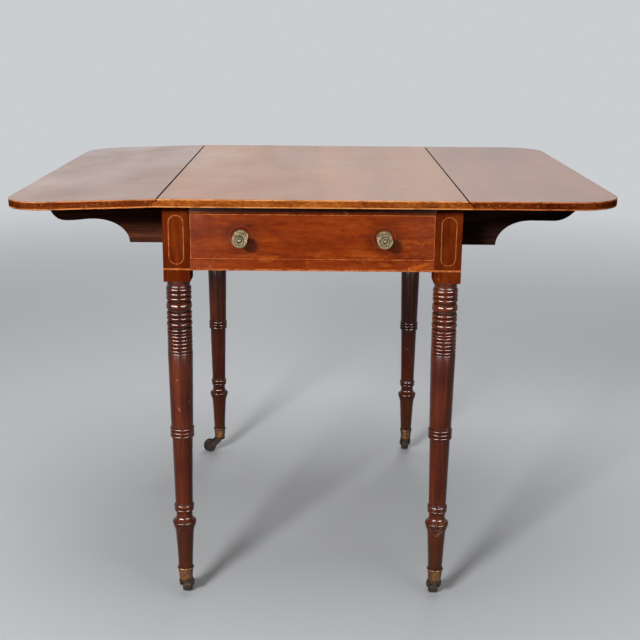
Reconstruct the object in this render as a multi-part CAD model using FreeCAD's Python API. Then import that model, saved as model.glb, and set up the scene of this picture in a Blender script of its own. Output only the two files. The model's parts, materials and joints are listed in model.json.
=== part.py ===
import FreeCAD, Part
import math
import os

# A pembroke table with a frieze drawer, two drop leaves on rule joints, four fly brackets and cup castors.
# Millimetres, +Z up, front towards -Y, origin on the floor under the middle of the table.

V = FreeCAD.Vector
X_AXIS = V(1, 0, 0)
Y_AXIS = V(0, 1, 0)
Z_AXIS = V(0, 0, 1)
SIDES = {"left": -1, "right": 1}
ENDS = {"front": -1, "rear": 1}

# Boards
HEIGHT = 728.0
TOP_WIDTH = 498.0
TOP_DEPTH = 790.0
TOP_THICK = 14.0
LEAF_WIDTH = 256.0
# Degrees by which the left and the right leaf hang on their worn brackets
LEAF_DROOP = (2.0, 0.0)
LEAF_CORNER = 78.0
ARRIS_ROUND = 0.8

# Rule joint: a fillet at the surface, then an ovolo on the top and a cove on the leaf round one axis
FILLET_DROP = 3.5
AXIS_LIFT = 1.8
JOINT_GAP = 2.0
COVE_CLEAR = 0.7

# Leaf hinges
HINGE_WIDTH = 30.0
HINGE_END_INSET = 60.0
HINGE_PLATE = 1.6
HINGE_TOP_REACH = 38.0
HINGE_LEAF_REACH = 56.0
HINGE_BARREL_R = 2.8
HINGE_PIN_R = 1.3
HINGE_KNUCKLE = 11.0
HINGE_SIDE_CLEAR = 0.4
MORTISE_CLEAR = 0.7
RUN_FIT = 0.05

# Frame
LEG_BLOCK = 44.0
SIDE_INSET = 4.0
END_OVERHANG = 22.0
FRIEZE_HEIGHT = 107.0
INNER_RAIL_THICK = 18.0
INNER_RAIL_GAP = 1.0
TENON_THICK = 9.0
TENON_LENGTH = 22.0
TENON_SHOULDER = 8.0
DRAWER_RAIL_DEPTH = 42.0
TOP_RAIL_THICK = 12.5
BOTTOM_RAIL_THICK = 18.0
BOTTOM_RAIL_TENON = 10.0
TOP_RAIL_TENON = 6.0
REAR_RAIL_THICK = 23.0
SHAM_THICK = 7.0

# Turned leg, from the block down: lengths along the leg and diameters
BLOCK_DROP = 20.0
NECK_LENGTH = 11.5
NECK_D = 39.6
NECK_COVE = 0.6
COLLAR_RINGS = 3
COLLAR_PITCH = 7.9
RING_D = 42.6
RING_ROOT_D = 39.0
TORUS_LENGTH = 18.6
TORUS_D = 42.6
TORUS_ROOT_D = 34.6
PAIR_RINGS = 2
PAIR_PITCH = 7.7
SMALL_TORUS_LENGTH = 13.0
SMALL_TORUS_ROOT_D = 35.6
REED_FIRST = 11.0
REED_RINGS = 5
REED_PITCH = 6.4
UPPER_TAPER_D = (42.6, 39.0)
UPPER_TAPER_SHARE = 0.516
MID_RINGS = 3
MID_PITCH = 8.6
MID_ROOT_D = 37.8
LOWER_TAPER_D = (36.0, 30.2)
ANKLE_RINGS = 2
ANKLE_PITCH = 7.0
ANKLE_D = 35.0
ANKLE_NECK_LENGTH = 13.0
ANKLE_NECK_D = 29.6
ANKLE_NECK_COVE = 1.4
BULB_LENGTH = 24.0
BULB_D = 41.0
BULB_TOP_D = 31.6
BULB_GROOVE_D = 39.0
FOOT_LENGTH = 72.6
FOOT_TOP_D = 32.6
FOOT_WAIST_D = 27.6
FOOT_BOTTOM_D = 25.2
FOOT_TENON_D = (22.6, 19.0)

# Fly brackets and the fly rail that carries them
FLY_THICK = 22.0
FLY_HEIGHT = 77.0
FLY_CENTRE_LENGTH = 112.0
KNUCKLE_BLOCK_LENGTH = 49.0
FLY_BLOCK_LENGTH = 78.0
FLY_WAIST_REACH = 136.0
FLY_NOSE_START = 23.0
FLY_NOSE_RUN = 12.0
FLY_NOSE_FALL = 12.5
# Sawn by eye: the left pair of brackets, then the right pair
FLY_WAIST_DEPTH = (37.0, 34.4)
FLY_BELLY_REACH = (184.0, 174.0)
FLY_BELLY_DEPTH = (40.0, 34.6)
FLY_TIP_DEPTH = (12.0, 8.0)
FLY_FINGERS = 5
FLY_PIN_R = 3.0
KNUCKLE_CLEAR = 0.3
LEAF_REST_CLEAR = 0.2
FLY_TIP_CLEAR = 4.0

# Drawer
DRAWER_GAP = 0.8
DRAWER_BACK_ROOM = 106.0
DRAWER_FRONT_THICK = 20.0
DRAWER_SIDE_THICK = 9.0
DRAWER_BACK_THICK = 9.0
DRAWER_SIDE_DROP = 4.0
DRAWER_BOTTOM_THICK = 6.0
DRAWER_BOTTOM_LIFT = 7.0
DRAWER_GROOVE = 4.5
DOVETAILS = 3
DOVETAIL_LENGTH = 13.0
DOVETAIL_FLARE = 2.2
DOVETAIL_PIN = 2.2
RUNNER_WIDTH = 24.0
GUIDE_HEIGHT = 14.0
KICKER_THICK = 11.0
STOP_LENGTH = 12.0

# Knobs
KNOB_X = 117.0
KNOB_D = 26.0
KNOB_PROJECTION = 34.0
KNOB_STEM_D = 9.0
KNOB_RIM = 5.0
KNOB_RIM_ROUND = 1.0
KNOB_RIM_LIP = 3.4
KNOB_NECK_FLARE = 1.5
KNOB_BELL = 9.4
KNOB_BELL_DEPTH = 4.0
KNOB_GROOVE = 0.9
KNOB_RIDGE_D = 13.4
KNOB_RIDGE_WIDTH = 1.3
KNOB_RECESS = 1.9
KNOB_BOSS_D = 4.4
KNOB_POST_D = 5.0
ROSE_D = 25.0
ROSE_THICK = 2.6
ROSE_MOULDING = 3.0
ROSE_SWELL = 0.3

# Stringing
STRING_WIDTH = 1.3
STRING_DEPTH = 1.2
FRIEZE_STRING_WIDTH = 3.0
FRIEZE_STRING_PROUD = 0.6
PANEL_WIDTH = 25.4
PANEL_HEIGHT = 82.0
PANEL_DROP = 3.0

# Castors
CUP_RIM_D = 29.0
CUP_TOP_D = 26.0
CUP_BOTTOM_D = 22.4
CUP_TOP = 60.0
CUP_BOTTOM = 36.0
CUP_RIM_HEIGHT = 5.0
CUP_FLOOR = 4.0
CUP_ARRIS = 1.0
PINTLE_R = 3.0
PINTLE_HEAD_R = 5.0
PINTLE_HEAD = 2.0
SWIVEL_CLEAR = 0.3
WHEEL_D = 30.0
WHEEL_WIDTH = 16.0
WHEEL_CROWN = 1.0
WHEEL_DISH = 2.0
WHEEL_HUB_D = 9.0
WHEEL_RIM = 2.5
WHEEL_BEVEL = 1.0
TRAIL = 24.0
HORN_PLATE = 2.8
HORN_CHEEK = 3.0
HORN_SIDE_CLEAR = 0.5
HORN_PLATE_R = 12.0
HORN_BOSS_R = 5.5
HORN_ARCH = 1.2
HORN_HOLLOW = 3.6
AXLE_R = 2.0
CASTOR_TURN = {"front_left": 90, "front_right": 90, "rear_left": 180, "rear_right": 90}

# Places worked out from the sizes above
UNDERSIDE = HEIGHT - TOP_THICK
AXIS_X = TOP_WIDTH / 2
AXIS_Z = UNDERSIDE + AXIS_LIFT
OVOLO_R = TOP_THICK - FILLET_DROP - AXIS_LIFT
COVE_R = OVOLO_R + COVE_CLEAR
SIDE_FACE = AXIS_X - SIDE_INSET
LEG_X = SIDE_FACE - LEG_BLOCK / 2
LEG_INNER_X = SIDE_FACE - LEG_BLOCK
FRONT_FACE = TOP_DEPTH / 2 - END_OVERHANG
LEG_Y = FRONT_FACE - LEG_BLOCK / 2
LEG_INNER_Y = FRONT_FACE - LEG_BLOCK
FRIEZE_BOTTOM = UNDERSIDE - FRIEZE_HEIGHT
BLOCK_BOTTOM = FRIEZE_BOTTOM - BLOCK_DROP
RUNNER_TOP = FRIEZE_BOTTOM + BOTTOM_RAIL_THICK
DRAWER_BOTTOM_Z = RUNNER_TOP + DRAWER_GAP
DRAWER_TOP_Z = UNDERSIDE - TOP_RAIL_THICK - DRAWER_GAP
DRAWER_X = LEG_INNER_X - DRAWER_GAP
DRAWER_MID_Z = (DRAWER_BOTTOM_Z + DRAWER_TOP_Z) / 2
DRAWER_SIDE_TOP = DRAWER_TOP_Z - DRAWER_SIDE_DROP
DRAWER_BACK_Y = FRONT_FACE - DRAWER_BACK_ROOM
FLY_PIVOT_X = SIDE_FACE - FLY_THICK / 2
FLY_PIVOT_Y = LEG_INNER_Y - KNUCKLE_BLOCK_LENGTH
FLY_REACH = FLY_PIVOT_Y - FLY_CENTRE_LENGTH / 2 - FLY_TIP_CLEAR
FLY_TOP = UNDERSIDE - LEAF_REST_CLEAR
FLY_BOTTOM = FLY_TOP - FLY_HEIGHT
INNER_RAIL_X = SIDE_FACE - FLY_THICK - INNER_RAIL_GAP
HINGE_YS = (HINGE_END_INSET - TOP_DEPTH / 2, 0.0, TOP_DEPTH / 2 - HINGE_END_INSET)
WHEEL_R = WHEEL_D / 2
FIXED_FINGERS = range(0, FLY_FINGERS, 2)
MOVING_FINGERS = range(1, FLY_FINGERS, 2)
TOUCH = 1e-3


def box(x0, x1, y0, y1, z0, z1):
    return Part.makeBox(x1 - x0, y1 - y0, z1 - z0, V(x0, y0, z0))


def sided_box(side, x0, x1, y0, y1, z0, z1):
    """A box whose X range is given outwards from the middle on one side."""
    lo, hi = sorted((side * x0, side * x1))
    return box(lo, hi, y0, y1, z0, z1)


def flip_x(shape):
    return shape.mirror(V(0, 0, 0), X_AXIS)


def flip_y(shape):
    return shape.mirror(V(0, 0, 0), Y_AXIS)


def on_side(shape, side):
    return shape if side > 0 else flip_x(shape)


def pair(side):
    """The place of a side's value where the left and the right differ."""
    return 0 if side < 0 else 1


def on_corner(shape, side, end):
    """Turns a piece modelled for the front right corner over to any corner."""
    shape = on_side(shape, side)
    return shape if end < 0 else flip_y(shape)


def line(a, b):
    return Part.makeLine(a, b)


def arc(a, mid, b):
    return Part.Arc(a, mid, b).toShape()


def quarter(ellipse, a, b):
    """The quarter of an ellipse between two of its ends."""
    low, high = sorted(ellipse.parameter(point) % (2 * math.pi) for point in (a, b))
    if high - low > math.pi:
        low, high = high, low + 2 * math.pi
    return Part.ArcOfEllipse(ellipse, low, high).toShape()


def bezier(poles):
    curve = Part.BezierCurve()
    curve.setPoles(poles)
    return curve.toShape()


def extruded(edges, direction):
    return Part.Face(Part.Wire(Part.__sortEdges__(edges))).extrude(direction)


def polygon(points):
    return Part.Face(Part.makePolygon(points + points[:1]))


def group(shapes):
    return Part.makeCompound(shapes)


def stadium(width, height, depth, centre):
    """A slab with round ends, upright, its back on the centre point and its depth along +Y."""
    r = width / 2
    straight = height / 2 - r
    left, right = V(-r, 0, 0), V(r, 0, 0)
    up, down = V(0, 0, straight), V(0, 0, -straight)
    edges = [
        line(right + down, right + up),
        arc(right + up, up + V(0, 0, r), left + up),
        line(left + up, left + down),
        arc(left + down, down + V(0, 0, -r), right + down),
    ]
    return extruded(edges, V(0, depth, 0)).translated(centre)


def rule_point(dx, dz):
    """A point of the right-hand rule joint, from its axis."""
    return V(AXIS_X + dx, 0, AXIS_Z + dz)


def fixed_top():
    """The middle board: fillet and ovolo along both sides, mortises for the hinges below."""
    crown = rule_point(0, OVOLO_R)
    swell = rule_point(OVOLO_R * math.sin(math.pi / 4), OVOLO_R * math.cos(math.pi / 4))
    foot = rule_point(OVOLO_R, 0)
    right = [
        line(V(0, 0, HEIGHT), V(AXIS_X, 0, HEIGHT)),
        line(V(AXIS_X, 0, HEIGHT), crown),
        arc(crown, swell, foot),
        line(foot, rule_point(OVOLO_R, -AXIS_LIFT)),
        line(rule_point(OVOLO_R, -AXIS_LIFT), V(0, 0, UNDERSIDE)),
    ]
    edges = right + [flip_x(edge) for edge in right]
    board = extruded(edges, V(0, TOP_DEPTH, 0)).translated(V(0, -TOP_DEPTH / 2, 0))
    return board.cut(group(hinge_mortises(1) + hinge_mortises(-1)))


def hinge_mortises(side):
    """The hollow under the fixed top for each hinge: a shallow bed and a deeper slot round the barrel."""
    shapes = []
    slot = HINGE_BARREL_R + MORTISE_CLEAR
    half = HINGE_WIDTH / 2 + HINGE_SIDE_CLEAR
    for y in HINGE_YS:
        shapes.append(sided_box(side, AXIS_X - HINGE_TOP_REACH, AXIS_X, y - half, y + half,
                                UNDERSIDE, UNDERSIDE + HINGE_PLATE))
        shapes.append(sided_box(side, AXIS_X - slot, AXIS_X + OVOLO_R + COVE_CLEAR, y - half, y + half,
                                UNDERSIDE, AXIS_Z + slot))
    return shapes


def leaf(side):
    """A drop leaf: cove along the joint, round outer corners, beds for the hinge plates below."""
    lip_x = JOINT_GAP
    lip = rule_point(lip_x, math.sqrt(COVE_R ** 2 - lip_x ** 2))
    hollow = rule_point(COVE_R * math.sin(math.pi / 4), COVE_R * math.cos(math.pi / 4))
    foot = rule_point(COVE_R, 0)
    outer = AXIS_X + LEAF_WIDTH
    edges = [
        line(V(AXIS_X + lip_x, 0, HEIGHT), V(outer, 0, HEIGHT)),
        line(V(outer, 0, HEIGHT), V(outer, 0, UNDERSIDE)),
        line(V(outer, 0, UNDERSIDE), rule_point(COVE_R, -AXIS_LIFT)),
        line(rule_point(COVE_R, -AXIS_LIFT), foot),
        arc(foot, hollow, lip),
        line(lip, V(AXIS_X + lip_x, 0, HEIGHT)),
    ]
    board = extruded(edges, V(0, TOP_DEPTH, 0)).translated(V(0, -TOP_DEPTH / 2, 0))
    upright = [edge for edge in board.Edges if edge.BoundBox.ZLength > TOUCH]
    corners = [edge for edge in upright if edge.BoundBox.XMin > outer - TOUCH]
    board = board.makeFillet(LEAF_CORNER, corners)
    rim = [edge for edge in board.Edges if on_leaf_rim(edge, outer)]
    board = board.makeFillet(ARRIS_ROUND, rim)
    half = HINGE_WIDTH / 2 + HINGE_SIDE_CLEAR
    beds = [box(AXIS_X, AXIS_X + HINGE_LEAF_REACH, y - half, y + half, UNDERSIDE, UNDERSIDE + HINGE_PLATE)
            for y in HINGE_YS]
    return on_side(drooped(board.cut(group(beds)), side), side)


def drooped(shape, side):
    """Turns a leaf, or what is screwed to it, down about the hinge pins by its droop."""
    hung = shape.copy()
    hung.rotate(V(AXIS_X, 0, AXIS_Z), Y_AXIS, LEAF_DROOP[pair(side)])
    return hung


def on_leaf_rim(edge, outer):
    """True for the upper and lower arris of a leaf's three free edges."""
    bounds = edge.BoundBox
    flat = bounds.ZLength < TOUCH
    along_joint = bounds.XMax < AXIS_X + 2 * COVE_R and bounds.YLength > TOP_DEPTH / 2
    level = min(abs(bounds.ZMin - HEIGHT), abs(bounds.ZMin - UNDERSIDE)) < TOUCH
    return flat and level and not along_joint and bounds.XMax > outer - LEAF_WIDTH / 2


def barrel(r, y0, y1):
    return Part.makeCylinder(r, y1 - y0, V(AXIS_X, y0, AXIS_Z), Y_AXIS)


def hinge_top_plates(side):
    """Plates under the fixed top, each with the middle knuckle."""
    plates = []
    for y in HINGE_YS:
        plate = box(AXIS_X - HINGE_TOP_REACH, AXIS_X, y - HINGE_WIDTH / 2, y + HINGE_WIDTH / 2,
                    UNDERSIDE, UNDERSIDE + HINGE_PLATE)
        room = HINGE_BARREL_R + HINGE_SIDE_CLEAR
        plate = plate.cut(barrel(room, y - HINGE_WIDTH, y + HINGE_WIDTH))
        knuckle = barrel(HINGE_BARREL_R, y - HINGE_KNUCKLE / 2, y + HINGE_KNUCKLE / 2)
        neck = box(AXIS_X - HINGE_TOP_REACH, AXIS_X, y - HINGE_KNUCKLE / 2, y + HINGE_KNUCKLE / 2,
                   UNDERSIDE, UNDERSIDE + HINGE_PLATE)
        hole = barrel(HINGE_PIN_R + RUN_FIT, y - HINGE_WIDTH, y + HINGE_WIDTH)
        plates.append(plate.fuse(neck).fuse(knuckle).cut(hole).removeSplitter())
    return on_side(group(plates), side)


def hinge_leaf_plates(side):
    """Long plates under the leaf, each with the two outer knuckles."""
    plates = []
    for y in HINGE_YS:
        y0, y1 = y - HINGE_WIDTH / 2, y + HINGE_WIDTH / 2
        plate = box(AXIS_X, AXIS_X + HINGE_LEAF_REACH, y0, y1, UNDERSIDE, UNDERSIDE + HINGE_PLATE)
        inner = HINGE_KNUCKLE / 2 + HINGE_SIDE_CLEAR
        ends = [(y0, y - inner), (y + inner, y1)]
        plate = plate.cut(barrel(HINGE_BARREL_R + HINGE_SIDE_CLEAR, y - inner, y + inner))
        plate = plate.fuse([barrel(HINGE_BARREL_R, *span) for span in ends])
        hole = barrel(HINGE_PIN_R + RUN_FIT, y - HINGE_WIDTH, y + HINGE_WIDTH)
        plates.append(plate.cut(hole).removeSplitter())
    return on_side(drooped(group(plates), side), side)


def hinge_pins(side):
    pins = [barrel(HINGE_PIN_R, y - HINGE_WIDTH / 2, y + HINGE_WIDTH / 2) for y in HINGE_YS]
    return on_side(group(pins), side)


class Turning:
    """Half of a turned outline, drawn downwards along the axis of a leg."""

    def __init__(self, radius, z):
        self.edges = []
        self.at = V(radius, 0, z)

    def to(self, radius, z):
        end = V(radius, 0, z)
        if end.distanceToPoint(self.at) > TOUCH:
            self.edges.append(line(self.at, end))
        self.at = end

    def down(self, radius, length):
        self.to(radius, self.at.z - length)

    def swell(self, radius, length, bulge):
        """A bead (bulge above 0) or a cove (below 0) that ends at a radius, a length further down."""
        end = V(radius, 0, self.at.z - length)
        mid = (self.at + end) * 0.5 + V(bulge, 0, 0)
        self.edges.append(arc(self.at, mid, end))
        self.at = end

    def rings(self, count, pitch, crown_d, root_d):
        for _ in range(count):
            self.to(root_d / 2, self.at.z)
            self.swell(root_d / 2, pitch, (crown_d - root_d) / 2)

    def solid(self, place):
        start = self.edges[0].Vertexes[0].Point
        self.to(0, self.at.z)
        self.to(0, start.z)
        self.to(start.x, start.z)
        face = Part.Face(Part.Wire(self.edges))
        turned = face.revolve(V(0, 0, 0), Z_AXIS, 360)
        return turned.translated(place)


def turned_leg():
    """The turned shaft below the block, from the collar rings to the foot that fills the castor cup."""
    collar = NECK_LENGTH + COLLAR_RINGS * COLLAR_PITCH + TORUS_LENGTH + PAIR_RINGS * PAIR_PITCH
    reeds = SMALL_TORUS_LENGTH + REED_FIRST + REED_RINGS * REED_PITCH
    ankle = ANKLE_RINGS * ANKLE_PITCH + ANKLE_NECK_LENGTH + BULB_LENGTH + FOOT_LENGTH
    tapers = BLOCK_BOTTOM - CUP_TOP - collar - reeds - MID_RINGS * MID_PITCH - ankle
    upper_taper = UPPER_TAPER_SHARE * tapers
    cut = Turning(NECK_D / 2, BLOCK_BOTTOM)
    cut.swell(RING_ROOT_D / 2, NECK_LENGTH, -NECK_COVE)
    cut.rings(COLLAR_RINGS, COLLAR_PITCH, RING_D, RING_ROOT_D)
    cut.rings(1, TORUS_LENGTH, TORUS_D, TORUS_ROOT_D)
    cut.rings(PAIR_RINGS, PAIR_PITCH, RING_D, RING_ROOT_D)
    cut.rings(1, SMALL_TORUS_LENGTH, TORUS_D, SMALL_TORUS_ROOT_D)
    cut.rings(1, REED_FIRST, RING_D, RING_ROOT_D)
    cut.rings(REED_RINGS, REED_PITCH, RING_D, RING_ROOT_D)
    cut.to(UPPER_TAPER_D[0] / 2, cut.at.z)
    cut.down(UPPER_TAPER_D[1] / 2, upper_taper)
    cut.rings(MID_RINGS, MID_PITCH, RING_D, MID_ROOT_D)
    cut.to(LOWER_TAPER_D[0] / 2, cut.at.z)
    cut.down(LOWER_TAPER_D[1] / 2, tapers - upper_taper)
    cut.rings(ANKLE_RINGS, ANKLE_PITCH, ANKLE_D, LOWER_TAPER_D[1])
    cut.to(ANKLE_NECK_D / 2, cut.at.z)
    cut.swell(BULB_TOP_D / 2, ANKLE_NECK_LENGTH, -ANKLE_NECK_COVE)
    for end_d in (BULB_GROOVE_D, FOOT_TOP_D):
        cut.swell(end_d / 2, BULB_LENGTH / 2, (BULB_D - cut.at.x - end_d / 2) / 2)
    cut.swell(FOOT_BOTTOM_D / 2, FOOT_LENGTH, FOOT_WAIST_D / 2 - (FOOT_TOP_D + FOOT_BOTTOM_D) / 4)
    cut.to(FOOT_TENON_D[0] / 2, CUP_TOP)
    cut.to(FOOT_TENON_D[1] / 2, CUP_BOTTOM + CUP_FLOOR + PINTLE_HEAD + 2 * SWIVEL_CLEAR)
    return cut.solid(V(LEG_X, -LEG_Y, 0))


def leg_block():
    half = LEG_BLOCK / 2
    return box(LEG_X - half, LEG_X + half, -LEG_Y - half, -LEG_Y + half, BLOCK_BOTTOM, UNDERSIDE)


def leg(side, end):
    """Block and turned shaft of one leg, with its mortises and the grooves of its stringing."""
    shape = leg_block().fuse(turned_leg())
    shape = shape.cut(group([inner_rail_tenon(), leg_panel_string(), frieze_string()]))
    rail_tenons = [top_rail_tenon(), bottom_rail_tenon()] if end < 0 else [rear_rail_tenon()]
    return on_corner(shape.cut(group(rail_tenons)).removeSplitter(), side, end)


def inner_rail_tenon():
    """Tenon at the front end of the right inner rail."""
    mid = INNER_RAIL_X - INNER_RAIL_THICK / 2
    return box(mid - TENON_THICK / 2, mid + TENON_THICK / 2, -LEG_INNER_Y - TENON_LENGTH, -LEG_INNER_Y,
               FRIEZE_BOTTOM + TENON_SHOULDER, UNDERSIDE - TOP_RAIL_THICK)


def inner_rail(side):
    rail = box(INNER_RAIL_X - INNER_RAIL_THICK, INNER_RAIL_X, -LEG_INNER_Y, LEG_INNER_Y,
               FRIEZE_BOTTOM, UNDERSIDE)
    tenon = inner_rail_tenon()
    return on_side(rail.fuse([tenon, flip_y(tenon)]), side)


def top_rail_tenon():
    """Tenon at the right end of the front top rail."""
    z = UNDERSIDE - TOP_RAIL_THICK / 2
    return box(LEG_INNER_X, LEG_INNER_X + TENON_LENGTH, -LEG_Y - TENON_THICK, -LEG_Y + TENON_THICK,
               z - TOP_RAIL_TENON / 2, z + TOP_RAIL_TENON / 2)


def front_top_rail():
    rail = box(-LEG_INNER_X, LEG_INNER_X, -FRONT_FACE, DRAWER_RAIL_DEPTH - FRONT_FACE,
               UNDERSIDE - TOP_RAIL_THICK, UNDERSIDE)
    tenon = top_rail_tenon()
    return rail.fuse([tenon, flip_x(tenon)])


def bottom_rail_tenon():
    """Tenon at the right end of the front bottom rail."""
    z = FRIEZE_BOTTOM + BOTTOM_RAIL_THICK / 2
    return box(LEG_INNER_X, LEG_INNER_X + TENON_LENGTH, -LEG_Y - TENON_THICK, -LEG_Y,
               z - BOTTOM_RAIL_TENON / 2, z + BOTTOM_RAIL_TENON / 2)


def front_bottom_rail():
    rail = box(-LEG_INNER_X, LEG_INNER_X, -FRONT_FACE, DRAWER_RAIL_DEPTH - FRONT_FACE,
               FRIEZE_BOTTOM, RUNNER_TOP)
    tenon = bottom_rail_tenon()
    return rail.fuse([tenon, flip_x(tenon)]).cut(frieze_string())


def rear_rail_tenon():
    """Tenon of the rear rail, drawn at the front right corner as the leg is."""
    y = REAR_RAIL_THICK / 2 - FRONT_FACE
    return box(LEG_INNER_X, LEG_INNER_X + TENON_LENGTH, y - TENON_THICK / 2, y + TENON_THICK / 2,
               FRIEZE_BOTTOM + TENON_SHOULDER, UNDERSIDE - TENON_SHOULDER)


def rear_rail():
    """The rail opposite the drawer, sunk to take the sham drawer front."""
    rail = box(-LEG_INNER_X, LEG_INNER_X, FRONT_FACE - REAR_RAIL_THICK, FRONT_FACE, FRIEZE_BOTTOM, UNDERSIDE)
    tenon = flip_y(rear_rail_tenon())
    rail = rail.fuse([tenon, flip_x(tenon)])
    bed = box(-DRAWER_X, DRAWER_X, FRONT_FACE - SHAM_THICK, FRONT_FACE, DRAWER_BOTTOM_Z, DRAWER_TOP_Z)
    return rail.cut(group([bed, flip_y(frieze_string())]))


def sham_drawer_front():
    panel = box(-DRAWER_X, DRAWER_X, FRONT_FACE - SHAM_THICK, FRONT_FACE, DRAWER_BOTTOM_Z, DRAWER_TOP_Z)
    posts = [flip_y(knob_post(x, SHAM_THICK)) for x in (-KNOB_X, KNOB_X)]
    return panel.cut(group([flip_y(drawer_string())] + posts))


def frieze_string():
    """The string along the bottom of the frieze, right across the front."""
    return box(-SIDE_FACE, SIDE_FACE, -FRONT_FACE - FRIEZE_STRING_PROUD, STRING_DEPTH - FRONT_FACE,
               FRIEZE_BOTTOM, FRIEZE_BOTTOM + FRIEZE_STRING_WIDTH)


def drawer_string():
    """The string round the edge of the drawer front."""
    outer = box(-DRAWER_X, DRAWER_X, -FRONT_FACE, STRING_DEPTH - FRONT_FACE, DRAWER_BOTTOM_Z, DRAWER_TOP_Z)
    inner = box(STRING_WIDTH - DRAWER_X, DRAWER_X - STRING_WIDTH, -FRONT_FACE, STRING_DEPTH - FRONT_FACE,
                DRAWER_BOTTOM_Z + STRING_WIDTH, DRAWER_TOP_Z - STRING_WIDTH)
    return outer.cut(inner)


def leg_panel_string():
    """The round-ended string panel on the face of a leg block."""
    centre = V(LEG_X, -FRONT_FACE, (FRIEZE_BOTTOM + UNDERSIDE) / 2 - PANEL_DROP)
    outer = stadium(PANEL_WIDTH, PANEL_HEIGHT, STRING_DEPTH, centre)
    inner = stadium(PANEL_WIDTH - 2 * STRING_WIDTH, PANEL_HEIGHT - 2 * STRING_WIDTH, STRING_DEPTH, centre)
    return outer.cut(inner)


def frame_stringing():
    panels = [on_corner(leg_panel_string(), side, end) for side in SIDES.values() for end in ENDS.values()]
    bands = [frieze_string(), flip_y(frieze_string()), flip_y(drawer_string())]
    return group(panels + bands)


def fly_pin_axis():
    return V(FLY_PIVOT_X, -FLY_PIVOT_Y, FLY_BOTTOM)


def finger_spans():
    """Heights of the knuckle fingers, bottom first; even ones belong to the fixed block."""
    step = FLY_HEIGHT / FLY_FINGERS
    return [(FLY_BOTTOM + i * step, FLY_BOTTOM + (i + 1) * step) for i in range(FLY_FINGERS)]


def knuckle(index, radius, grow=0.0):
    low, high = finger_spans()[index]
    base = V(FLY_PIVOT_X, -FLY_PIVOT_Y, low - grow)
    return Part.makeCylinder(radius, high - low + 2 * grow, base, Z_AXIS)


def fly_bore():
    return Part.makeCylinder(FLY_PIN_R + RUN_FIT, FLY_HEIGHT, fly_pin_axis(), Z_AXIS)


def mitred(shape, sign):
    """Cuts a knuckle piece back to the 45 degree stop at which an open bracket meets its block."""
    corner = fly_pin_axis() - V(KNUCKLE_CLEAR, KNUCKLE_CLEAR, 0) * (sign / 2)
    along = V(FLY_REACH, -FLY_REACH, 0)
    away = V(FLY_REACH, FLY_REACH, 0) * sign
    keep_out = polygon([corner, corner + along, corner + along + away, corner + away])
    return shape.cut(keep_out.extrude(V(0, 0, FLY_HEIGHT)))


def knuckle_block(side, end):
    """The fixed block beside a leg, with its three knuckle fingers."""
    radius = FLY_THICK / 2
    body = box(FLY_PIVOT_X - radius, SIDE_FACE, -LEG_INNER_Y, -FLY_PIVOT_Y, FLY_BOTTOM, FLY_TOP)
    body = mitred(body, 1).cut(group([knuckle(i, radius + KNUCKLE_CLEAR) for i in MOVING_FINGERS]))
    body = body.fuse([knuckle(i, radius) for i in FIXED_FINGERS])
    return on_corner(body.cut(fly_bore()).removeSplitter(), side, end)


def fly_bracket(side, end):
    """A fly bracket swung out under its leaf: block, hollow, ogee nose and two knuckle fingers.

    Its upper edge falls away with the droop of the leaf that rests on it.
    """
    radius = FLY_THICK / 2
    front = -FLY_PIVOT_Y - radius

    def at(reach, depth):
        return V(FLY_PIVOT_X + reach, front, FLY_TOP - depth)

    which = pair(side)
    fall = (FLY_PIVOT_X + FLY_REACH - AXIS_X) * math.tan(math.radians(LEAF_DROOP[which]))
    spring = at(FLY_BLOCK_LENGTH, FLY_HEIGHT)
    waist = at(FLY_WAIST_REACH, FLY_WAIST_DEPTH[which])
    belly = at(FLY_BELLY_REACH[which], FLY_BELLY_DEPTH[which])
    tip = at(FLY_REACH, FLY_TIP_DEPTH[which])
    hollow = Part.Ellipse(spring, waist, at(FLY_WAIST_REACH, FLY_HEIGHT))
    swell = V((FLY_BELLY_REACH[which] - FLY_WAIST_REACH) / 2, 0, 0)
    nose = V(FLY_NOSE_START, 0, 0)
    slope = V(FLY_NOSE_RUN, 0, FLY_NOSE_FALL)
    edges = [
        line(at(0, 0), at(0, FLY_HEIGHT)),
        line(at(0, FLY_HEIGHT), spring),
        quarter(hollow, spring, waist),
        bezier([waist, waist + swell, belly - swell, belly]),
        bezier([belly, belly + nose, tip - slope, tip]),
        line(tip, at(FLY_REACH, fall)),
        line(at(FLY_REACH, fall), at(0, 0)),
    ]
    body = mitred(extruded(edges, V(0, FLY_THICK, 0)), -1)
    body = body.fuse([knuckle(i, radius) for i in MOVING_FINGERS])
    body = body.cut(group([knuckle(i, radius + KNUCKLE_CLEAR, KNUCKLE_CLEAR) for i in FIXED_FINGERS]))
    return on_corner(body.cut(fly_bore()).removeSplitter(), side, end)


def bracket_pin(side, end):
    return on_corner(Part.makeCylinder(FLY_PIN_R, FLY_HEIGHT, fly_pin_axis(), Z_AXIS), side, end)


def fly_centre(side):
    """The fixed middle of the fly rail, between the tips of the folded brackets."""
    half = FLY_CENTRE_LENGTH / 2
    return sided_box(side, INNER_RAIL_X, SIDE_FACE, -half, half, FLY_BOTTOM, UNDERSIDE)


def dovetail(y, height):
    """One tail that runs along -Y from y, centred on z = 0 and widening to its full height at its end."""
    wide = height / 2
    narrow = wide - DOVETAIL_FLARE
    end = y - DOVETAIL_LENGTH
    points = [V(0, y, -narrow), V(0, y, narrow), V(0, end, wide), V(0, end, -wide)]
    return polygon(points).extrude(V(DRAWER_SIDE_THICK, 0, 0))


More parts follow.
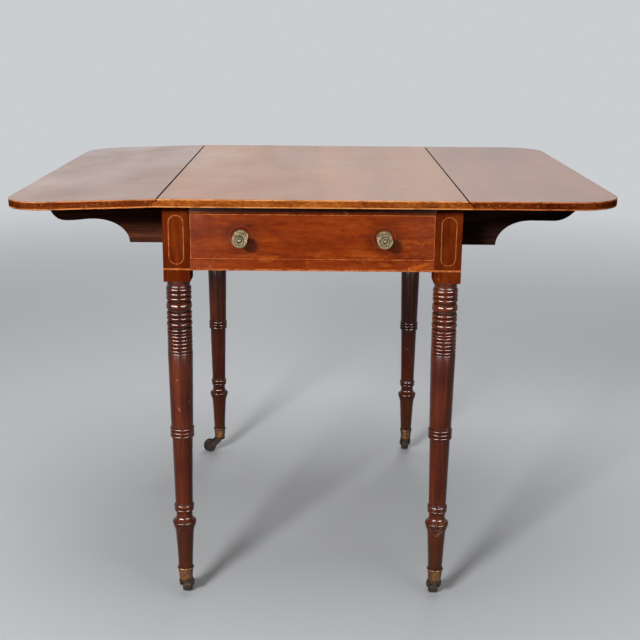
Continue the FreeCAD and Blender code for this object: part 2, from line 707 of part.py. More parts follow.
def side_tails():
    """The tails at the front end of the right drawer side."""
    shoulder = DRAWER_FRONT_THICK - FRONT_FACE
    pitch = (DRAWER_SIDE_TOP - DRAWER_BOTTOM_Z) / DOVETAILS
    tails = []
    for i in range(DOVETAILS):
        tail = dovetail(shoulder, pitch - DOVETAIL_PIN)
        tails.append(tail.translated(V(DRAWER_X - DRAWER_SIDE_THICK, 0, DRAWER_BOTTOM_Z + pitch * (i + 0.5))))
    return group(tails)


def drawer_bottom():
    """The bottom board, held in grooves of the front and the sides."""
    z = DRAWER_BOTTOM_Z + DRAWER_BOTTOM_LIFT
    half = DRAWER_X - DRAWER_SIDE_THICK + DRAWER_GROOVE
    y = DRAWER_FRONT_THICK - FRONT_FACE - DRAWER_GROOVE
    return box(-half, half, y, DRAWER_BACK_Y, z, z + DRAWER_BOTTOM_THICK)


def drawer_front():
    front = box(-DRAWER_X, DRAWER_X, -FRONT_FACE, DRAWER_FRONT_THICK - FRONT_FACE,
                DRAWER_BOTTOM_Z, DRAWER_TOP_Z)
    tails = side_tails()
    posts = [knob_post(x, DRAWER_FRONT_THICK) for x in (-KNOB_X, KNOB_X)]
    return front.cut(group([tails, flip_x(tails), drawer_string(), drawer_bottom()] + posts))


def drawer_side(side):
    """A drawer side that slides on its runner, tailed into the front and rebated for the back."""
    shoulder = DRAWER_FRONT_THICK - FRONT_FACE
    board = box(DRAWER_X - DRAWER_SIDE_THICK, DRAWER_X, shoulder, DRAWER_BACK_Y, RUNNER_TOP, DRAWER_SIDE_TOP)
    board = board.fuse(side_tails().Solids).cut(drawer_bottom()).cut(back_tenon())
    return on_side(board.removeSplitter(), side)


def back_tenon():
    """The end of the drawer back, let into the right side."""
    floor = DRAWER_BOTTOM_Z + DRAWER_BOTTOM_LIFT + DRAWER_BOTTOM_THICK
    inside = DRAWER_X - DRAWER_SIDE_THICK
    return box(inside, inside + DRAWER_GROOVE, DRAWER_BACK_Y - 2 * DRAWER_BACK_THICK,
               DRAWER_BACK_Y - DRAWER_BACK_THICK, floor, DRAWER_SIDE_TOP)


def drawer_back():
    floor = DRAWER_BOTTOM_Z + DRAWER_BOTTOM_LIFT + DRAWER_BOTTOM_THICK
    half = DRAWER_X - DRAWER_SIDE_THICK
    board = box(-half, half, DRAWER_BACK_Y - 2 * DRAWER_BACK_THICK, DRAWER_BACK_Y - DRAWER_BACK_THICK,
                floor, DRAWER_SIDE_TOP)
    return board.fuse([back_tenon(), flip_x(back_tenon())])


def rail_strip(z0, z1):
    """A strip along the right inner rail, from the front rail to the rear one, notched round the legs."""
    inside = INNER_RAIL_X - INNER_RAIL_THICK
    strip = box(inside - RUNNER_WIDTH, LEG_INNER_X, DRAWER_RAIL_DEPTH - FRONT_FACE,
                FRONT_FACE - REAR_RAIL_THICK, z0, z1)
    return strip.fuse(box(LEG_INNER_X, inside, -LEG_INNER_Y, LEG_INNER_Y, z0, z1)).removeSplitter()


def runner(side):
    """A drawer runner with its guide, fixed to the inner rail."""
    inside = INNER_RAIL_X - INNER_RAIL_THICK
    guide = box(LEG_INNER_X, inside, -LEG_INNER_Y, LEG_INNER_Y, RUNNER_TOP, RUNNER_TOP + GUIDE_HEIGHT)
    return on_side(rail_strip(FRIEZE_BOTTOM, RUNNER_TOP).fuse(guide).removeSplitter(), side)


def kicker(side):
    """The strip above a drawer side that keeps an open drawer from tipping."""
    return on_side(rail_strip(UNDERSIDE - KICKER_THICK, UNDERSIDE), side)


def drawer_stops():
    """Blocks on the runners that the drawer sides meet when it is shut."""
    inside = INNER_RAIL_X - INNER_RAIL_THICK - RUNNER_WIDTH
    return group([sided_box(side, inside, DRAWER_X, DRAWER_BACK_Y, DRAWER_BACK_Y + STOP_LENGTH,
                            RUNNER_TOP, RUNNER_TOP + GUIDE_HEIGHT) for side in SIDES.values()])


def knob_post(x, length):
    return Part.makeCylinder(KNOB_POST_D / 2, length, V(x, -FRONT_FACE, DRAWER_MID_Z), Y_AXIS)


def turned_out(edges, x):
    """Revolves an outline drawn as (radius, distance from the frieze) into a fitting on the front."""
    solid = Part.Face(Part.Wire(edges)).revolve(V(0, 0, 0), Y_AXIS, 360)
    return solid.translated(V(x, -FRONT_FACE, DRAWER_MID_Z))


def knob(x, post_length):
    """A turned brass knob: slender stem, flaring neck, thick rim, and a raised ring round a sunk boss."""

    def at(radius, out):
        return V(radius, -out, 0)

    r, stem, boss = KNOB_D / 2, KNOB_STEM_D / 2, KNOB_BOSS_D / 2
    rim_back, rim_front = KNOB_PROJECTION - KNOB_RIM, KNOB_PROJECTION - KNOB_RIM_ROUND
    rim, lip, flare = r - KNOB_RIM_ROUND, r - KNOB_RIM_LIP, stem + KNOB_NECK_FLARE
    bell = at(KNOB_BELL, rim_back - KNOB_BELL_DEPTH)
    groove, sunk = rim_front - KNOB_GROOVE, KNOB_PROJECTION - KNOB_RECESS
    ridge = KNOB_RIDGE_D / 2
    bowl = ridge - KNOB_RIDGE_WIDTH
    dome = at(boss * 2 / 3, (sunk + 2 * rim_front) / 3)
    edges = [
        line(at(0, -post_length), at(KNOB_POST_D / 2, -post_length)),
        line(at(KNOB_POST_D / 2, -post_length), at(KNOB_POST_D / 2, ROSE_THICK)),
        line(at(KNOB_POST_D / 2, ROSE_THICK), at(flare, ROSE_THICK)),
        arc(at(flare, ROSE_THICK), at(stem, KNOB_PROJECTION / 3), at(flare, KNOB_PROJECTION / 2)),
        arc(at(flare, KNOB_PROJECTION / 2), bell, at(rim, rim_back)),
        arc(at(rim, rim_back), at(r, (rim_back + rim_front) / 2), at(rim, rim_front)),
        line(at(rim, rim_front), at(lip, rim_front)),
        line(at(lip, rim_front), at(lip - KNOB_GROOVE, groove)),
        line(at(lip - KNOB_GROOVE, groove), at(ridge + KNOB_GROOVE, groove)),
        line(at(ridge + KNOB_GROOVE, groove), at(ridge, KNOB_PROJECTION)),
        line(at(ridge, KNOB_PROJECTION), at(bowl, KNOB_PROJECTION)),
        line(at(bowl, KNOB_PROJECTION), at(bowl - KNOB_GROOVE, sunk)),
        line(at(bowl - KNOB_GROOVE, sunk), at(boss, sunk)),
        arc(at(boss, sunk), dome, at(boss / 3, rim_front)),
        line(at(boss / 3, rim_front), at(0, rim_front)),
        line(at(0, rim_front), at(0, -post_length)),
    ]
    return turned_out(edges, x)


def rose(x):
    """The round plate between a knob and the frieze."""
    r, hole = ROSE_D / 2, KNOB_POST_D / 2
    edge, crown = V(r, -ROSE_THICK / 2, 0), V(r - ROSE_MOULDING, -ROSE_THICK, 0)
    edges = [
        line(V(hole, 0, 0), V(r, 0, 0)),
        line(V(r, 0, 0), edge),
        arc(edge, (edge + crown) * 0.5 + V(0, -ROSE_SWELL, 0), crown),
        line(crown, V(hole, -ROSE_THICK, 0)),
        line(V(hole, -ROSE_THICK, 0), V(hole, 0, 0)),
    ]
    return turned_out(edges, x)


def castor_cup(side, end):
    """A brass cup with a bead round its rim, closed below round the pintle hole."""
    wall = Turning(FOOT_TENON_D[0] / 2, CUP_TOP)
    wall.to(CUP_TOP_D / 2, CUP_TOP)
    wall.swell(CUP_TOP_D / 2, CUP_RIM_HEIGHT, (CUP_RIM_D - CUP_TOP_D) / 2)
    wall.to(CUP_BOTTOM_D / 2, CUP_BOTTOM + CUP_ARRIS)
    wall.to(CUP_BOTTOM_D / 2 - CUP_ARRIS, CUP_BOTTOM)
    wall.to(PINTLE_R + RUN_FIT, CUP_BOTTOM)
    wall.to(PINTLE_R + RUN_FIT, CUP_BOTTOM + CUP_FLOOR)
    wall.to(FOOT_TENON_D[1] / 2, CUP_BOTTOM + CUP_FLOOR)
    wall.to(FOOT_TENON_D[1] / 2, CUP_BOTTOM + CUP_FLOOR + PINTLE_HEAD + 2 * SWIVEL_CLEAR)
    wall.to(FOOT_TENON_D[0] / 2, CUP_TOP)
    cup = Part.Face(Part.Wire(wall.edges)).revolve(V(0, 0, 0), Z_AXIS, 360)
    return cup.translated(castor_place(side, end))


def castor_place(side, end):
    return V(side * LEG_X, end * LEG_Y, 0)


def placed_castor(shape, side, end, name):
    """Puts a castor piece, drawn trailing along +X, under its leg."""
    turned = shape.copy()
    turned.rotate(V(0, 0, 0), Z_AXIS, CASTOR_TURN[name])
    return turned.translated(castor_place(side, end))


def horn():
    """The swivelling horn: pintle with a riveted head, plate, and cheeks that sweep back to the axle."""
    plate_top = CUP_BOTTOM - SWIVEL_CLEAR
    plate_low = plate_top - HORN_PLATE
    pintle_length = CUP_FLOOR + 2 * SWIVEL_CLEAR
    inner = WHEEL_WIDTH / 2 + HORN_SIDE_CLEAR
    axle = V(TRAIL, 0, WHEEL_R)
    plate = Part.makeCylinder(HORN_PLATE_R, HORN_PLATE, V(0, 0, plate_low), Z_AXIS)
    pintle = Part.makeCylinder(PINTLE_R, pintle_length, V(0, 0, plate_top), Z_AXIS)
    head = Part.makeCylinder(PINTLE_HEAD_R, PINTLE_HEAD, V(0, 0, plate_top + pintle_length), Z_AXIS)
    back = axle + V(HORN_BOSS_R, 0, 0)
    crown = axle + V(0, 0, HORN_BOSS_R)
    sole = axle + V(0, 0, -HORN_BOSS_R)
    toe_top, toe_low = V(-HORN_PLATE_R / 2, 0, plate_top), V(-HORN_PLATE_R / 2, 0, plate_low)
    heel = V(HORN_PLATE_R / 2, 0, plate_top)
    edges = [
        line(toe_low, toe_top),
        line(toe_top, heel),
        arc(heel, (heel + crown) * 0.5 + V(0, 0, HORN_ARCH), crown),
        arc(crown, back, sole),
        arc(sole, (sole + toe_low) * 0.5 + V(0, 0, -HORN_HOLLOW), toe_low),
    ]
    cheek = extruded(edges, V(0, HORN_CHEEK, 0))
    cheeks = [cheek.translated(V(0, inner, 0)), cheek.translated(V(0, -inner - HORN_CHEEK, 0))]
    hole = Part.makeCylinder(AXLE_R + RUN_FIT, 4 * inner, axle - V(0, 2 * inner, 0), Y_AXIS)
    return plate.fuse([pintle, head] + cheeks).cut(hole).removeSplitter()


def axle_pin():
    length = WHEEL_WIDTH + 2 * (HORN_SIDE_CLEAR + HORN_CHEEK)
    return Part.makeCylinder(AXLE_R, length, V(TRAIL, -length / 2, WHEEL_R), Y_AXIS)


def wheel():
    """A castor wheel with a slightly crowned tread and dished sides."""
    half, hub, bore = WHEEL_WIDTH / 2, WHEEL_HUB_D / 2, AXLE_R + RUN_FIT
    edge, rim = WHEEL_R - WHEEL_CROWN, WHEEL_R - WHEEL_CROWN - WHEEL_RIM

    def at(radius, across):
        return V(radius, across, 0)

    floor = half - WHEEL_DISH
    flank = [at(bore, half), at(hub, half), at(hub + WHEEL_BEVEL, floor), at(rim - WHEEL_BEVEL, floor),
             at(rim, half), at(edge, half)]
    other = [V(p.x, -p.y, 0) for p in flank]
    edges = [line(a, b) for a, b in zip(flank, flank[1:])]
    edges.append(arc(flank[-1], at(WHEEL_R, 0), other[-1]))
    edges += [line(a, b) for a, b in zip(other[::-1], other[-2::-1])]
    edges.append(line(other[0], flank[0]))
    solid = Part.Face(Part.Wire(edges)).revolve(V(0, 0, 0), Y_AXIS, 360)
    return solid.translated(V(TRAIL, 0, WHEEL_R))


def build():
    """All pieces of the table by node name."""
    nodes = {"fixed_top": fixed_top()}
    nodes["front_top_rail"] = front_top_rail()
    nodes["front_bottom_rail"] = front_bottom_rail()
    nodes["rear_rail"] = rear_rail()
    nodes["sham_drawer_front"] = sham_drawer_front()
    nodes["frame_stringing"] = frame_stringing()
    for name, side in SIDES.items():
        nodes[f"{name}_leaf"] = leaf(side)
        nodes[f"{name}_hinge_top_plates"] = hinge_top_plates(side)
        nodes[f"{name}_hinge_leaf_plates"] = hinge_leaf_plates(side)
        nodes[f"{name}_hinge_pins"] = hinge_pins(side)
        nodes[f"{name}_inner_rail"] = inner_rail(side)
        nodes[f"{name}_fly_centre"] = fly_centre(side)
        nodes[f"{name}_knuckle_blocks"] = group([knuckle_block(side, end) for end in ENDS.values()])
        nodes[f"{name}_runner"] = runner(side)
        nodes[f"{name}_kicker"] = kicker(side)
        nodes[f"drawer_{name}_side"] = drawer_side(side)
        nodes[f"drawer_{name}_knob"] = knob(side * KNOB_X, DRAWER_FRONT_THICK)
    nodes["bracket_pins"] = group([bracket_pin(s, e) for s in SIDES.values() for e in ENDS.values()])
    nodes["drawer_stops"] = drawer_stops()
    nodes["drawer_front"] = drawer_front()
    nodes["drawer_back"] = drawer_back()
    nodes["drawer_bottom"] = drawer_bottom()
    nodes["drawer_stringing"] = drawer_string()
    nodes["drawer_knob_roses"] = group([rose(-KNOB_X), rose(KNOB_X)])
    nodes["sham_knobs"] = group([flip_y(knob(x, SHAM_THICK)) for x in (-KNOB_X, KNOB_X)])
    nodes["sham_knob_roses"] = group([flip_y(rose(x)) for x in (-KNOB_X, KNOB_X)])
    nodes["castor_cups"] = group([castor_cup(s, e) for s in SIDES.values() for e in ENDS.values()])
    for end_name, end in ENDS.items():
        for side_name, side in SIDES.items():
            corner = f"{end_name}_{side_name}"
            nodes[f"{corner}_leg"] = leg(side, end)
            nodes[f"{corner}_bracket"] = fly_bracket(side, end)
            nodes[f"{corner}_castor_horn"] = placed_castor(horn(), side, end, corner)
            nodes[f"{corner}_castor_axle"] = placed_castor(axle_pin(), side, end, corner)
            nodes[f"{corner}_castor_wheel"] = placed_castor(wheel(), side, end, corner)
    return nodes


os.makedirs("parts", exist_ok=True)
for node_name, shape in build().items():
    shape.exportStep(f"parts/{node_name}.step")
    print(node_name, len(shape.Solids), "solid(s), volume", round(shape.Volume), "valid", shape.isValid())
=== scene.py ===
# %% [markdown]
# # Finishing a pembroke table
# The boards, legs, hinges and castors of this small drop-leaf table come from a CAD model, at their true sizes.
# This lesson dresses that model in Blender: worn arrises, turned brass, old French polish, wax and grime.
# Every CAD piece is loaded first, and it stays where it is. What needs a finer shape is modelled over it.

# %% Load the CAD frame
import json
import math

import bmesh
import bpy
from mathutils import Matrix, Vector
from mathutils.kdtree import KDTree


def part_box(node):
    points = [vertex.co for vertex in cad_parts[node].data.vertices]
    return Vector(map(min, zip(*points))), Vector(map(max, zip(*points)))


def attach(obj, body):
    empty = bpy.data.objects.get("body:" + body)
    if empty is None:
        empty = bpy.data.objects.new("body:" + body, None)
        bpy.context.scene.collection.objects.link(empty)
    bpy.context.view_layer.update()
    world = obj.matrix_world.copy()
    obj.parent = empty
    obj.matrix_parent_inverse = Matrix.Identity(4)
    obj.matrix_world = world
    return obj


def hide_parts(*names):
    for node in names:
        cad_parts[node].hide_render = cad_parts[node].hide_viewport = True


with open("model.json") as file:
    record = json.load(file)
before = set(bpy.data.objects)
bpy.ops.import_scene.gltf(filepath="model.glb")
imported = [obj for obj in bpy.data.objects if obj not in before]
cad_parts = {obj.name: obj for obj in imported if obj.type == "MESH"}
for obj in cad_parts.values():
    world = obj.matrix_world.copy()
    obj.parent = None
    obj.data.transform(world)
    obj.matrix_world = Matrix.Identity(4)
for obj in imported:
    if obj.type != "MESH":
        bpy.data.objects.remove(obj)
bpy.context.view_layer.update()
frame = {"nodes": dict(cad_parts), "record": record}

SIDES = ("left", "right")
CORNERS = [f"{end}_{side}" for end in ("front", "rear") for side in SIDES]
nodes = frame["nodes"]
body_of = {node: body for body, members in frame["record"]["behaviour"]["bodies"].items() for node in members}


def middle_of(node):
    """The middle of a CAD piece, in metres."""
    low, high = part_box(node)
    return (low + high) / 2


# %% [markdown]
# ## The camera
# The table was seen from a little above its top, straight on, with a moderate lens.
# The eye point, the tilt and the small roll were found by lining up the legs and the edges of the top.
# The three turns are multiplied in the order in which a photographer makes them: pan, tilt, then roll.

# %% Camera
EYE = Vector((0.00942, -2.1682, 1.0086))
PAN, TILT, ROLL = math.radians(-0.13), math.radians(90 - 15.11), math.radians(0.48)
FOCAL = 62.85
SENSOR = 36.0

camera_data = bpy.data.cameras.new("camera")
camera_data.lens = FOCAL
camera_data.sensor_width = SENSOR
camera = bpy.data.objects.new("camera", camera_data)
bpy.context.scene.collection.objects.link(camera)
turn = Matrix.Rotation(PAN, 4, "Z") @ Matrix.Rotation(TILT, 4, "X") @ Matrix.Rotation(ROLL, 4, "Z")
camera.matrix_world = Matrix.Translation(EYE) @ turn
bpy.context.scene.camera = camera
bpy.context.scene.view_settings.view_transform = "Standard"
print("camera at", tuple(EYE))

# %% [markdown]
# ## A small language for shaders
# A finish is easier to read as a formula than as a chain of boxes.
# `Wire` stands for the output of a node, and sums or products of wires add Math nodes by themselves.
# `Shader` works on any node tree. Its `node` method adds any node: type, settings, sockets.
# `Finish` is the common case, a material round one Principled shader.

# %% Wires
MIX_FACTOR, MIX_A, MIX_B, MIX_RESULT = 0, 6, 7, 2


class Wire:
    """The output of a shader node. Arithmetic on wires adds Math nodes."""

    def __init__(self, shader, socket):
        self.shader = shader
        self.socket = socket

    def math(self, operation, *values):
        return self.shader.node("ShaderNodeMath", {"operation": operation}, dict(enumerate(values)))

    def __add__(self, other):
        return self.math("ADD", self, other)

    def __radd__(self, other):
        return self.math("ADD", other, self)

    def __sub__(self, other):
        return self.math("SUBTRACT", self, other)

    def __rsub__(self, other):
        return self.math("SUBTRACT", other, self)

    def __mul__(self, other):
        return self.math("MULTIPLY", self, other)

    def __rmul__(self, other):
        return self.math("MULTIPLY", other, self)

    def __abs__(self):
        return self.math("ABSOLUTE", self)


# %% Shaders
class Shader:
    """A node tree, with short ways to add the nodes that the finishes share."""

    def __init__(self, tree):
        self.tree = tree

    def node(self, kind, settings=None, sockets=None, out=0):
        """Adds a node: its type, its settings, the values or wires of its sockets, and which output to use."""
        node = self.tree.nodes.new(kind)
        for key, value in (settings or {}).items():
            if key == "stops":
                steps = node.color_ramp.elements
                while len(steps) < len(value):
                    steps.new(0.5)
                for step, (position, colour) in zip(steps, value):
                    step.position = position
                    step.color = colour
            else:
                setattr(node, key, value)
        for key, value in (sockets or {}).items():
            if isinstance(value, Wire):
                self.tree.links.new(value.socket, node.inputs[key])
            else:
                node.inputs[key].default_value = value
        return Wire(self, node.outputs[out])

    def place(self):
        return self.node("ShaderNodeTexCoord", out="Object")

    def part(self, vector, axis):
        return self.node("ShaderNodeSeparateXYZ", None, {"Vector": vector}, axis)

    def scaled(self, vector, factors):
        return self.node("ShaderNodeMapping", None, {"Vector": vector, "Scale": factors})

    def noise(self, vector, scale=1.0, detail=2.0, roughness=0.5, distortion=0.0):
        sockets = {"Vector": vector, "Scale": scale, "Detail": detail, "Roughness": roughness,
                   "Distortion": distortion}
        return self.node("ShaderNodeTexNoise", None, sockets)

    def fade(self, value, low, high):
        """0 below low, 1 above high, with a smooth step between."""
        sockets = {"Value": value, "From Min": low, "From Max": high}
        return self.node("ShaderNodeMapRange", {"interpolation_type": "SMOOTHSTEP"}, sockets)

    def ramp(self, value, stops):
        return self.node("ShaderNodeValToRGB", {"stops": stops}, {"Fac": value})

    def mix(self, share, under, over):
        sockets = {MIX_FACTOR: share, MIX_A: under, MIX_B: over}
        return self.node("ShaderNodeMix", {"data_type": "RGBA"}, sockets, MIX_RESULT)

    def away(self, vector, point):
        """The distance from a point of the table, in metres."""
        return self.node("ShaderNodeVectorMath", {"operation": "DISTANCE"}, {0: vector, 1: point}, "Value")

    def line(self, value, middle, width):
        """1 on a thin line where the value is near the middle, 0 elsewhere, with soft sides."""
        return 1 - self.fade(abs(value - middle), 0.40 * width, 0.60 * width)

    def specks(self, vector, scale, size, share):
        """Small spots, one in some of the cells of a loose grid."""
        cells = {"Vector": vector, "Scale": scale}
        distance = self.node("ShaderNodeTexVoronoi", None, cells, "Distance")
        chance = self.node("ShaderNodeTexVoronoi", None, cells, "Color")
        lot = self.node("ShaderNodeSeparateColor", None, {"Color": chance})
        return (1 - self.fade(distance, 0.5 * size, size)) * self.fade(lot, 1 - share, 1.02 - share)

    def bump(self, height, strength, distance):
        sockets = {"Strength": strength, "Distance": distance, "Height": height}
        return self.node("ShaderNodeBump", None, sockets)

    def blend(self, share, under, over):
        return self.node("ShaderNodeMixShader", None, {0: share, 1: under, 2: over})

    def surface(self, output, wire):
        """Joins a shader to the tree's output node."""
        self.tree.links.new(wire.socket, self.tree.nodes[output].inputs["Surface"])


class Finish(Shader):
    """A material round one Principled shader; constants go straight into its sockets."""

    def __init__(self, name, constants):
        self.material = bpy.data.materials.new(name)
        self.material.use_nodes = True
        super().__init__(self.material.node_tree)
        self.principled = self.tree.nodes["Principled BSDF"]
        for socket, value in constants.items():
            self.principled.inputs[socket].default_value = value

    def feed(self, **wires):
        """Joins wires to the Principled sockets, as in base_color=..., roughness=..."""
        for name, wire in wires.items():
            self.tree.links.new(wire.socket, self.principled.inputs[name.replace("_", " ").title()])
        return self.material


def rgb(red, green, blue):
    """A screen colour, 0 to 255, as the linear values that a shader takes."""
    linear = [(v / 255 / 12.92) if v <= 10 else ((v / 255 + 0.055) / 1.055) ** 2.4 for v in (red, green, blue)]
    return (*linear, 1.0)


print("shader helpers ready")

# %% [markdown]
# ## Mahogany
# Mahogany shows three things: broad bands of colour, fine fibres along the grain, and short open pores.
# All three are noise stretched along the grain, at three sizes, so one function serves every board.
# The age comes on top: dark dents, pale scratches, and colour that has faded or been rubbed away.

# %% Grain
X, Y, Z = 0, 1, 2
SCRATCH_WIDTH = 0.32


def grain_of(finish, place, grain, bands, fibres, pores=(1000, 42)):
    """Broad bands, fibres and pores along one axis, each as cells per metre (across, along)."""

    def stretched(cells):
        across, along = cells
        return finish.scaled(place, [along if axis == grain else across for axis in (X, Y, Z)])

    broad = finish.noise(stretched(bands), detail=3, distortion=0.8)
    fine = finish.noise(stretched(fibres), detail=3, roughness=0.6)
    open_pores = finish.fade(finish.noise(stretched(pores), detail=1), 0.60, 0.70)
    return broad, fine, open_pores


def scratches(finish, place, slant, cells, share):
    """Short fine lines in one direction: specks drawn out to many times their width."""
    slanted = finish.node("ShaderNodeMapping", None, {"Vector": place, "Rotation": slant})
    return finish.specks(finish.scaled(slanted, cells), 1.0, SCRATCH_WIDTH, share)


print("grain runs along", "XYZ"[Y], "on the top and along", "XYZ"[X], "on the frieze")

# %% [markdown]
# ## The polished top
# The top and leaves are faded, and waxed so often that they mirror the room at a low angle.
# The leaves hung out of the light for years, so they are pinker and less golden than the fixed top.
# Two centuries left dents, a few scratches and yellowish patches where something hot or wet stood.

# %% Finish of the top
def polished_top(name, dark, middle, light, patch, gloss=0.5):
    finish = Finish(name, {"Specular IOR Level": gloss})
    place = finish.place()
    broad, fine, pores = grain_of(finish, place, Y, bands=(12, 0.9), fibres=(170, 5))
    clouds = finish.noise(place, 3.2, detail=4)
    tone = 0.40 * broad + 0.16 * fine + 0.44 * clouds
    wood = finish.ramp(tone, [(0.36, dark), (0.5, middle), (0.64, light)])
    patches = finish.fade(finish.noise(place, 5.5, detail=5, roughness=0.62), 0.54, 0.72)
    wood = finish.mix(0.5 * patches, wood, patch)
    wood = finish.mix(0.30 * pores, wood, rgb(84, 40, 22))
    dents = finish.specks(place, 13, 0.045, 0.24) + finish.specks(place, 34, 0.075, 0.07)
    wood = finish.mix(0.7 * dents, wood, rgb(48, 22, 14))
    lines = scratches(finish, place, (0, 0, 0.5), (150, 9, 40), 0.03)
    lines = lines + scratches(finish, place, (0, 0, -1.1), (190, 8, 40), 0.025)
    wood = finish.mix(0.14 * lines, wood, rgb(206, 172, 150))
    smears = finish.noise(finish.scaled(place, (7, 4, 7)), detail=4, roughness=0.6)
    rough = 0.14 + 0.20 * smears + 0.05 * patches + 0.5 * dents
    height = 0.4 * fine - 0.5 * pores - 1.0 * dents - 0.3 * lines
    return finish.feed(base_color=wood, roughness=rough, normal=finish.bump(height, 0.06, 0.0005))


top_finish = polished_top("golden_top", rgb(122, 68, 32), rgb(143, 87, 46), rgb(158, 102, 58), rgb(164, 112, 60))
leaf_finishes = {
    "left_leaf": polished_top("left_leaf_top", rgb(104, 64, 48), rgb(124, 82, 62), rgb(140, 98, 76),
                              rgb(142, 100, 70), gloss=0.64),
    "right_leaf": polished_top("right_leaf_top", rgb(106, 57, 37), rgb(125, 74, 49), rgb(140, 89, 60),
                               rgb(142, 92, 54), gloss=0.46),
}
print("finishes:", top_finish.name, *(finish.name for finish in leaf_finishes.values()))

# %% [markdown]
# ## The banded edge
# The edge of the top is crossbanded: short grain, so it shows as golden spots and dark knots, not as streaks.
# A boxwood string runs along each arris. It is paint here, placed by height, with the chips that time took.
# The faces inside the joint have never seen polish, and they are nearly black.

# %% Finish of the edges
TOP_LOW, TOP_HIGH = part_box("fixed_top")
EDGE_STRING = 0.0022
HINGE_HEIGHT = 0.7158
LEFT_DROOP = math.radians(2.0)
LEFT_HINGE = Vector((-TOP_HIGH.x, 0, HINGE_HEIGHT))


def levelled(finish, place, droop):
    """Where a point of the left leaf would be if the leaf stood level, as the strings follow the board."""
    turn = Matrix.Rotation(droop, 3, "Y")
    return finish.node("ShaderNodeMapping", None, {"Vector": place, "Rotation": (0, droop, 0),
                                                   "Location": LEFT_HINGE - turn @ LEFT_HINGE})


def banded_edge(name, dark, middle, light, string, droop=0.0):
    finish = Finish(name, {"Specular IOR Level": 0.0})
    place = levelled(finish, finish.place(), droop)
    height = finish.part(place, "Z")
    mottle = finish.noise(finish.scaled(place, (150, 150, 300)), detail=4, roughness=0.7)
    drifts = finish.noise(finish.scaled(place, (11, 11, 40)), detail=3)
    tone = 0.55 * mottle + 0.45 * drifts
    wood = finish.ramp(tone, [(0.36, dark), (0.5, middle), (0.64, light)])
    spots = finish.specks(finish.scaled(place, (1, 1, 0.8)), 210, 0.34, 0.20)
    wood = finish.mix(0.45 * spots, wood, rgb(206, 132, 58))
    knots = finish.specks(finish.scaled(place, (0.7, 0.7, 1.6)), 46, 0.24, 0.20)
    wood = finish.mix(0.7 * knots, wood, rgb(44, 18, 8))
    low = finish.line(height, TOP_LOW.z + EDGE_STRING / 2, EDGE_STRING)
    high = finish.line(height, TOP_HIGH.z - EDGE_STRING / 2, EDGE_STRING)
    chips = finish.fade(finish.noise(finish.scaled(place, (60, 60, 30)), detail=3), 0.38, 0.50)
    wood = finish.mix((low + high) * (0.40 + 0.55 * chips), wood, string)
    rough = 0.10 + 0.12 * mottle
    return finish.feed(base_color=wood, roughness=rough, normal=finish.bump(mottle, 0.15, 0.0005))


def bare_joint():
    """The hollow and the round of the rule joint: raw wood, black with rubbed-in wax and dirt."""
    finish = Finish("bare_joint", {"Specular IOR Level": 0.0})
    place = finish.place()
    fibres = finish.noise(finish.scaled(place, (300, 8, 300)), detail=3)
    wood = finish.ramp(fibres, [(0.35, rgb(22, 12, 8)), (0.65, rgb(54, 30, 20))])
    return finish.feed(base_color=wood, roughness=0.55 + 0.2 * fibres, normal=finish.bump(fibres, 0.2, 0.0004))


TOP_EDGE = rgb(92, 38, 12), rgb(146, 72, 24), rgb(190, 112, 44), rgb(230, 152, 88)
LEFT_EDGE = rgb(68, 26, 9), rgb(108, 46, 16), rgb(148, 76, 28), rgb(220, 132, 72)
RIGHT_EDGE = rgb(58, 20, 6), rgb(94, 37, 11), rgb(130, 62, 20), rgb(208, 116, 62)
top_edge_finish = banded_edge("golden_edge", *TOP_EDGE)
leaf_edge_finishes = {"left_leaf": banded_edge("left_leaf_edge", *LEFT_EDGE, droop=LEFT_DROOP),
                      "right_leaf": banded_edge("right_leaf_edge", *RIGHT_EDGE)}
joint_finish = bare_joint()
print("finishes:", top_edge_finish.name, "two for the leaves,", joint_finish.name)

# %% [markdown]
# ## The frieze
# The drawer front and its rails are redder than the top, which took the light.
# Their figure lies across the front, with orange flashes where the polish is thin, low down and at the ends.
# Fingers left a dark halo round each knob, and a pale ring marks a larger rose that was there before.

# %% Finish of the frieze
FRONT_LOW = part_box("drawer_front")[0]
FRONT_ENDS = (0.11, 0.20)
LOW_BAND = 0.02
KNOBS = [middle_of(f"drawer_{side}_knob") for side in SIDES]
OLD_ROSE_R = 0.0185
OLD_ROSE_LINE = 0.0016
HALO = (0.014, 0.036)
UNDERSIDE = TOP_LOW.z
OVERHANG_SHADE_REACH = (0.017, 0.004)


def overhang_shade_and_dirt(finish, place, wood, share, reach=OVERHANG_SHADE_REACH):
    """Wood darkened just under the top: dirt that gathers under the overhang, where no duster goes, and painted
    shade of the overhang.
    """
    near = finish.fade(finish.part(place, "Z"), UNDERSIDE - reach[0], UNDERSIDE - reach[1])
    return finish.mix(share * near, wood, rgb(22, 6, 4))


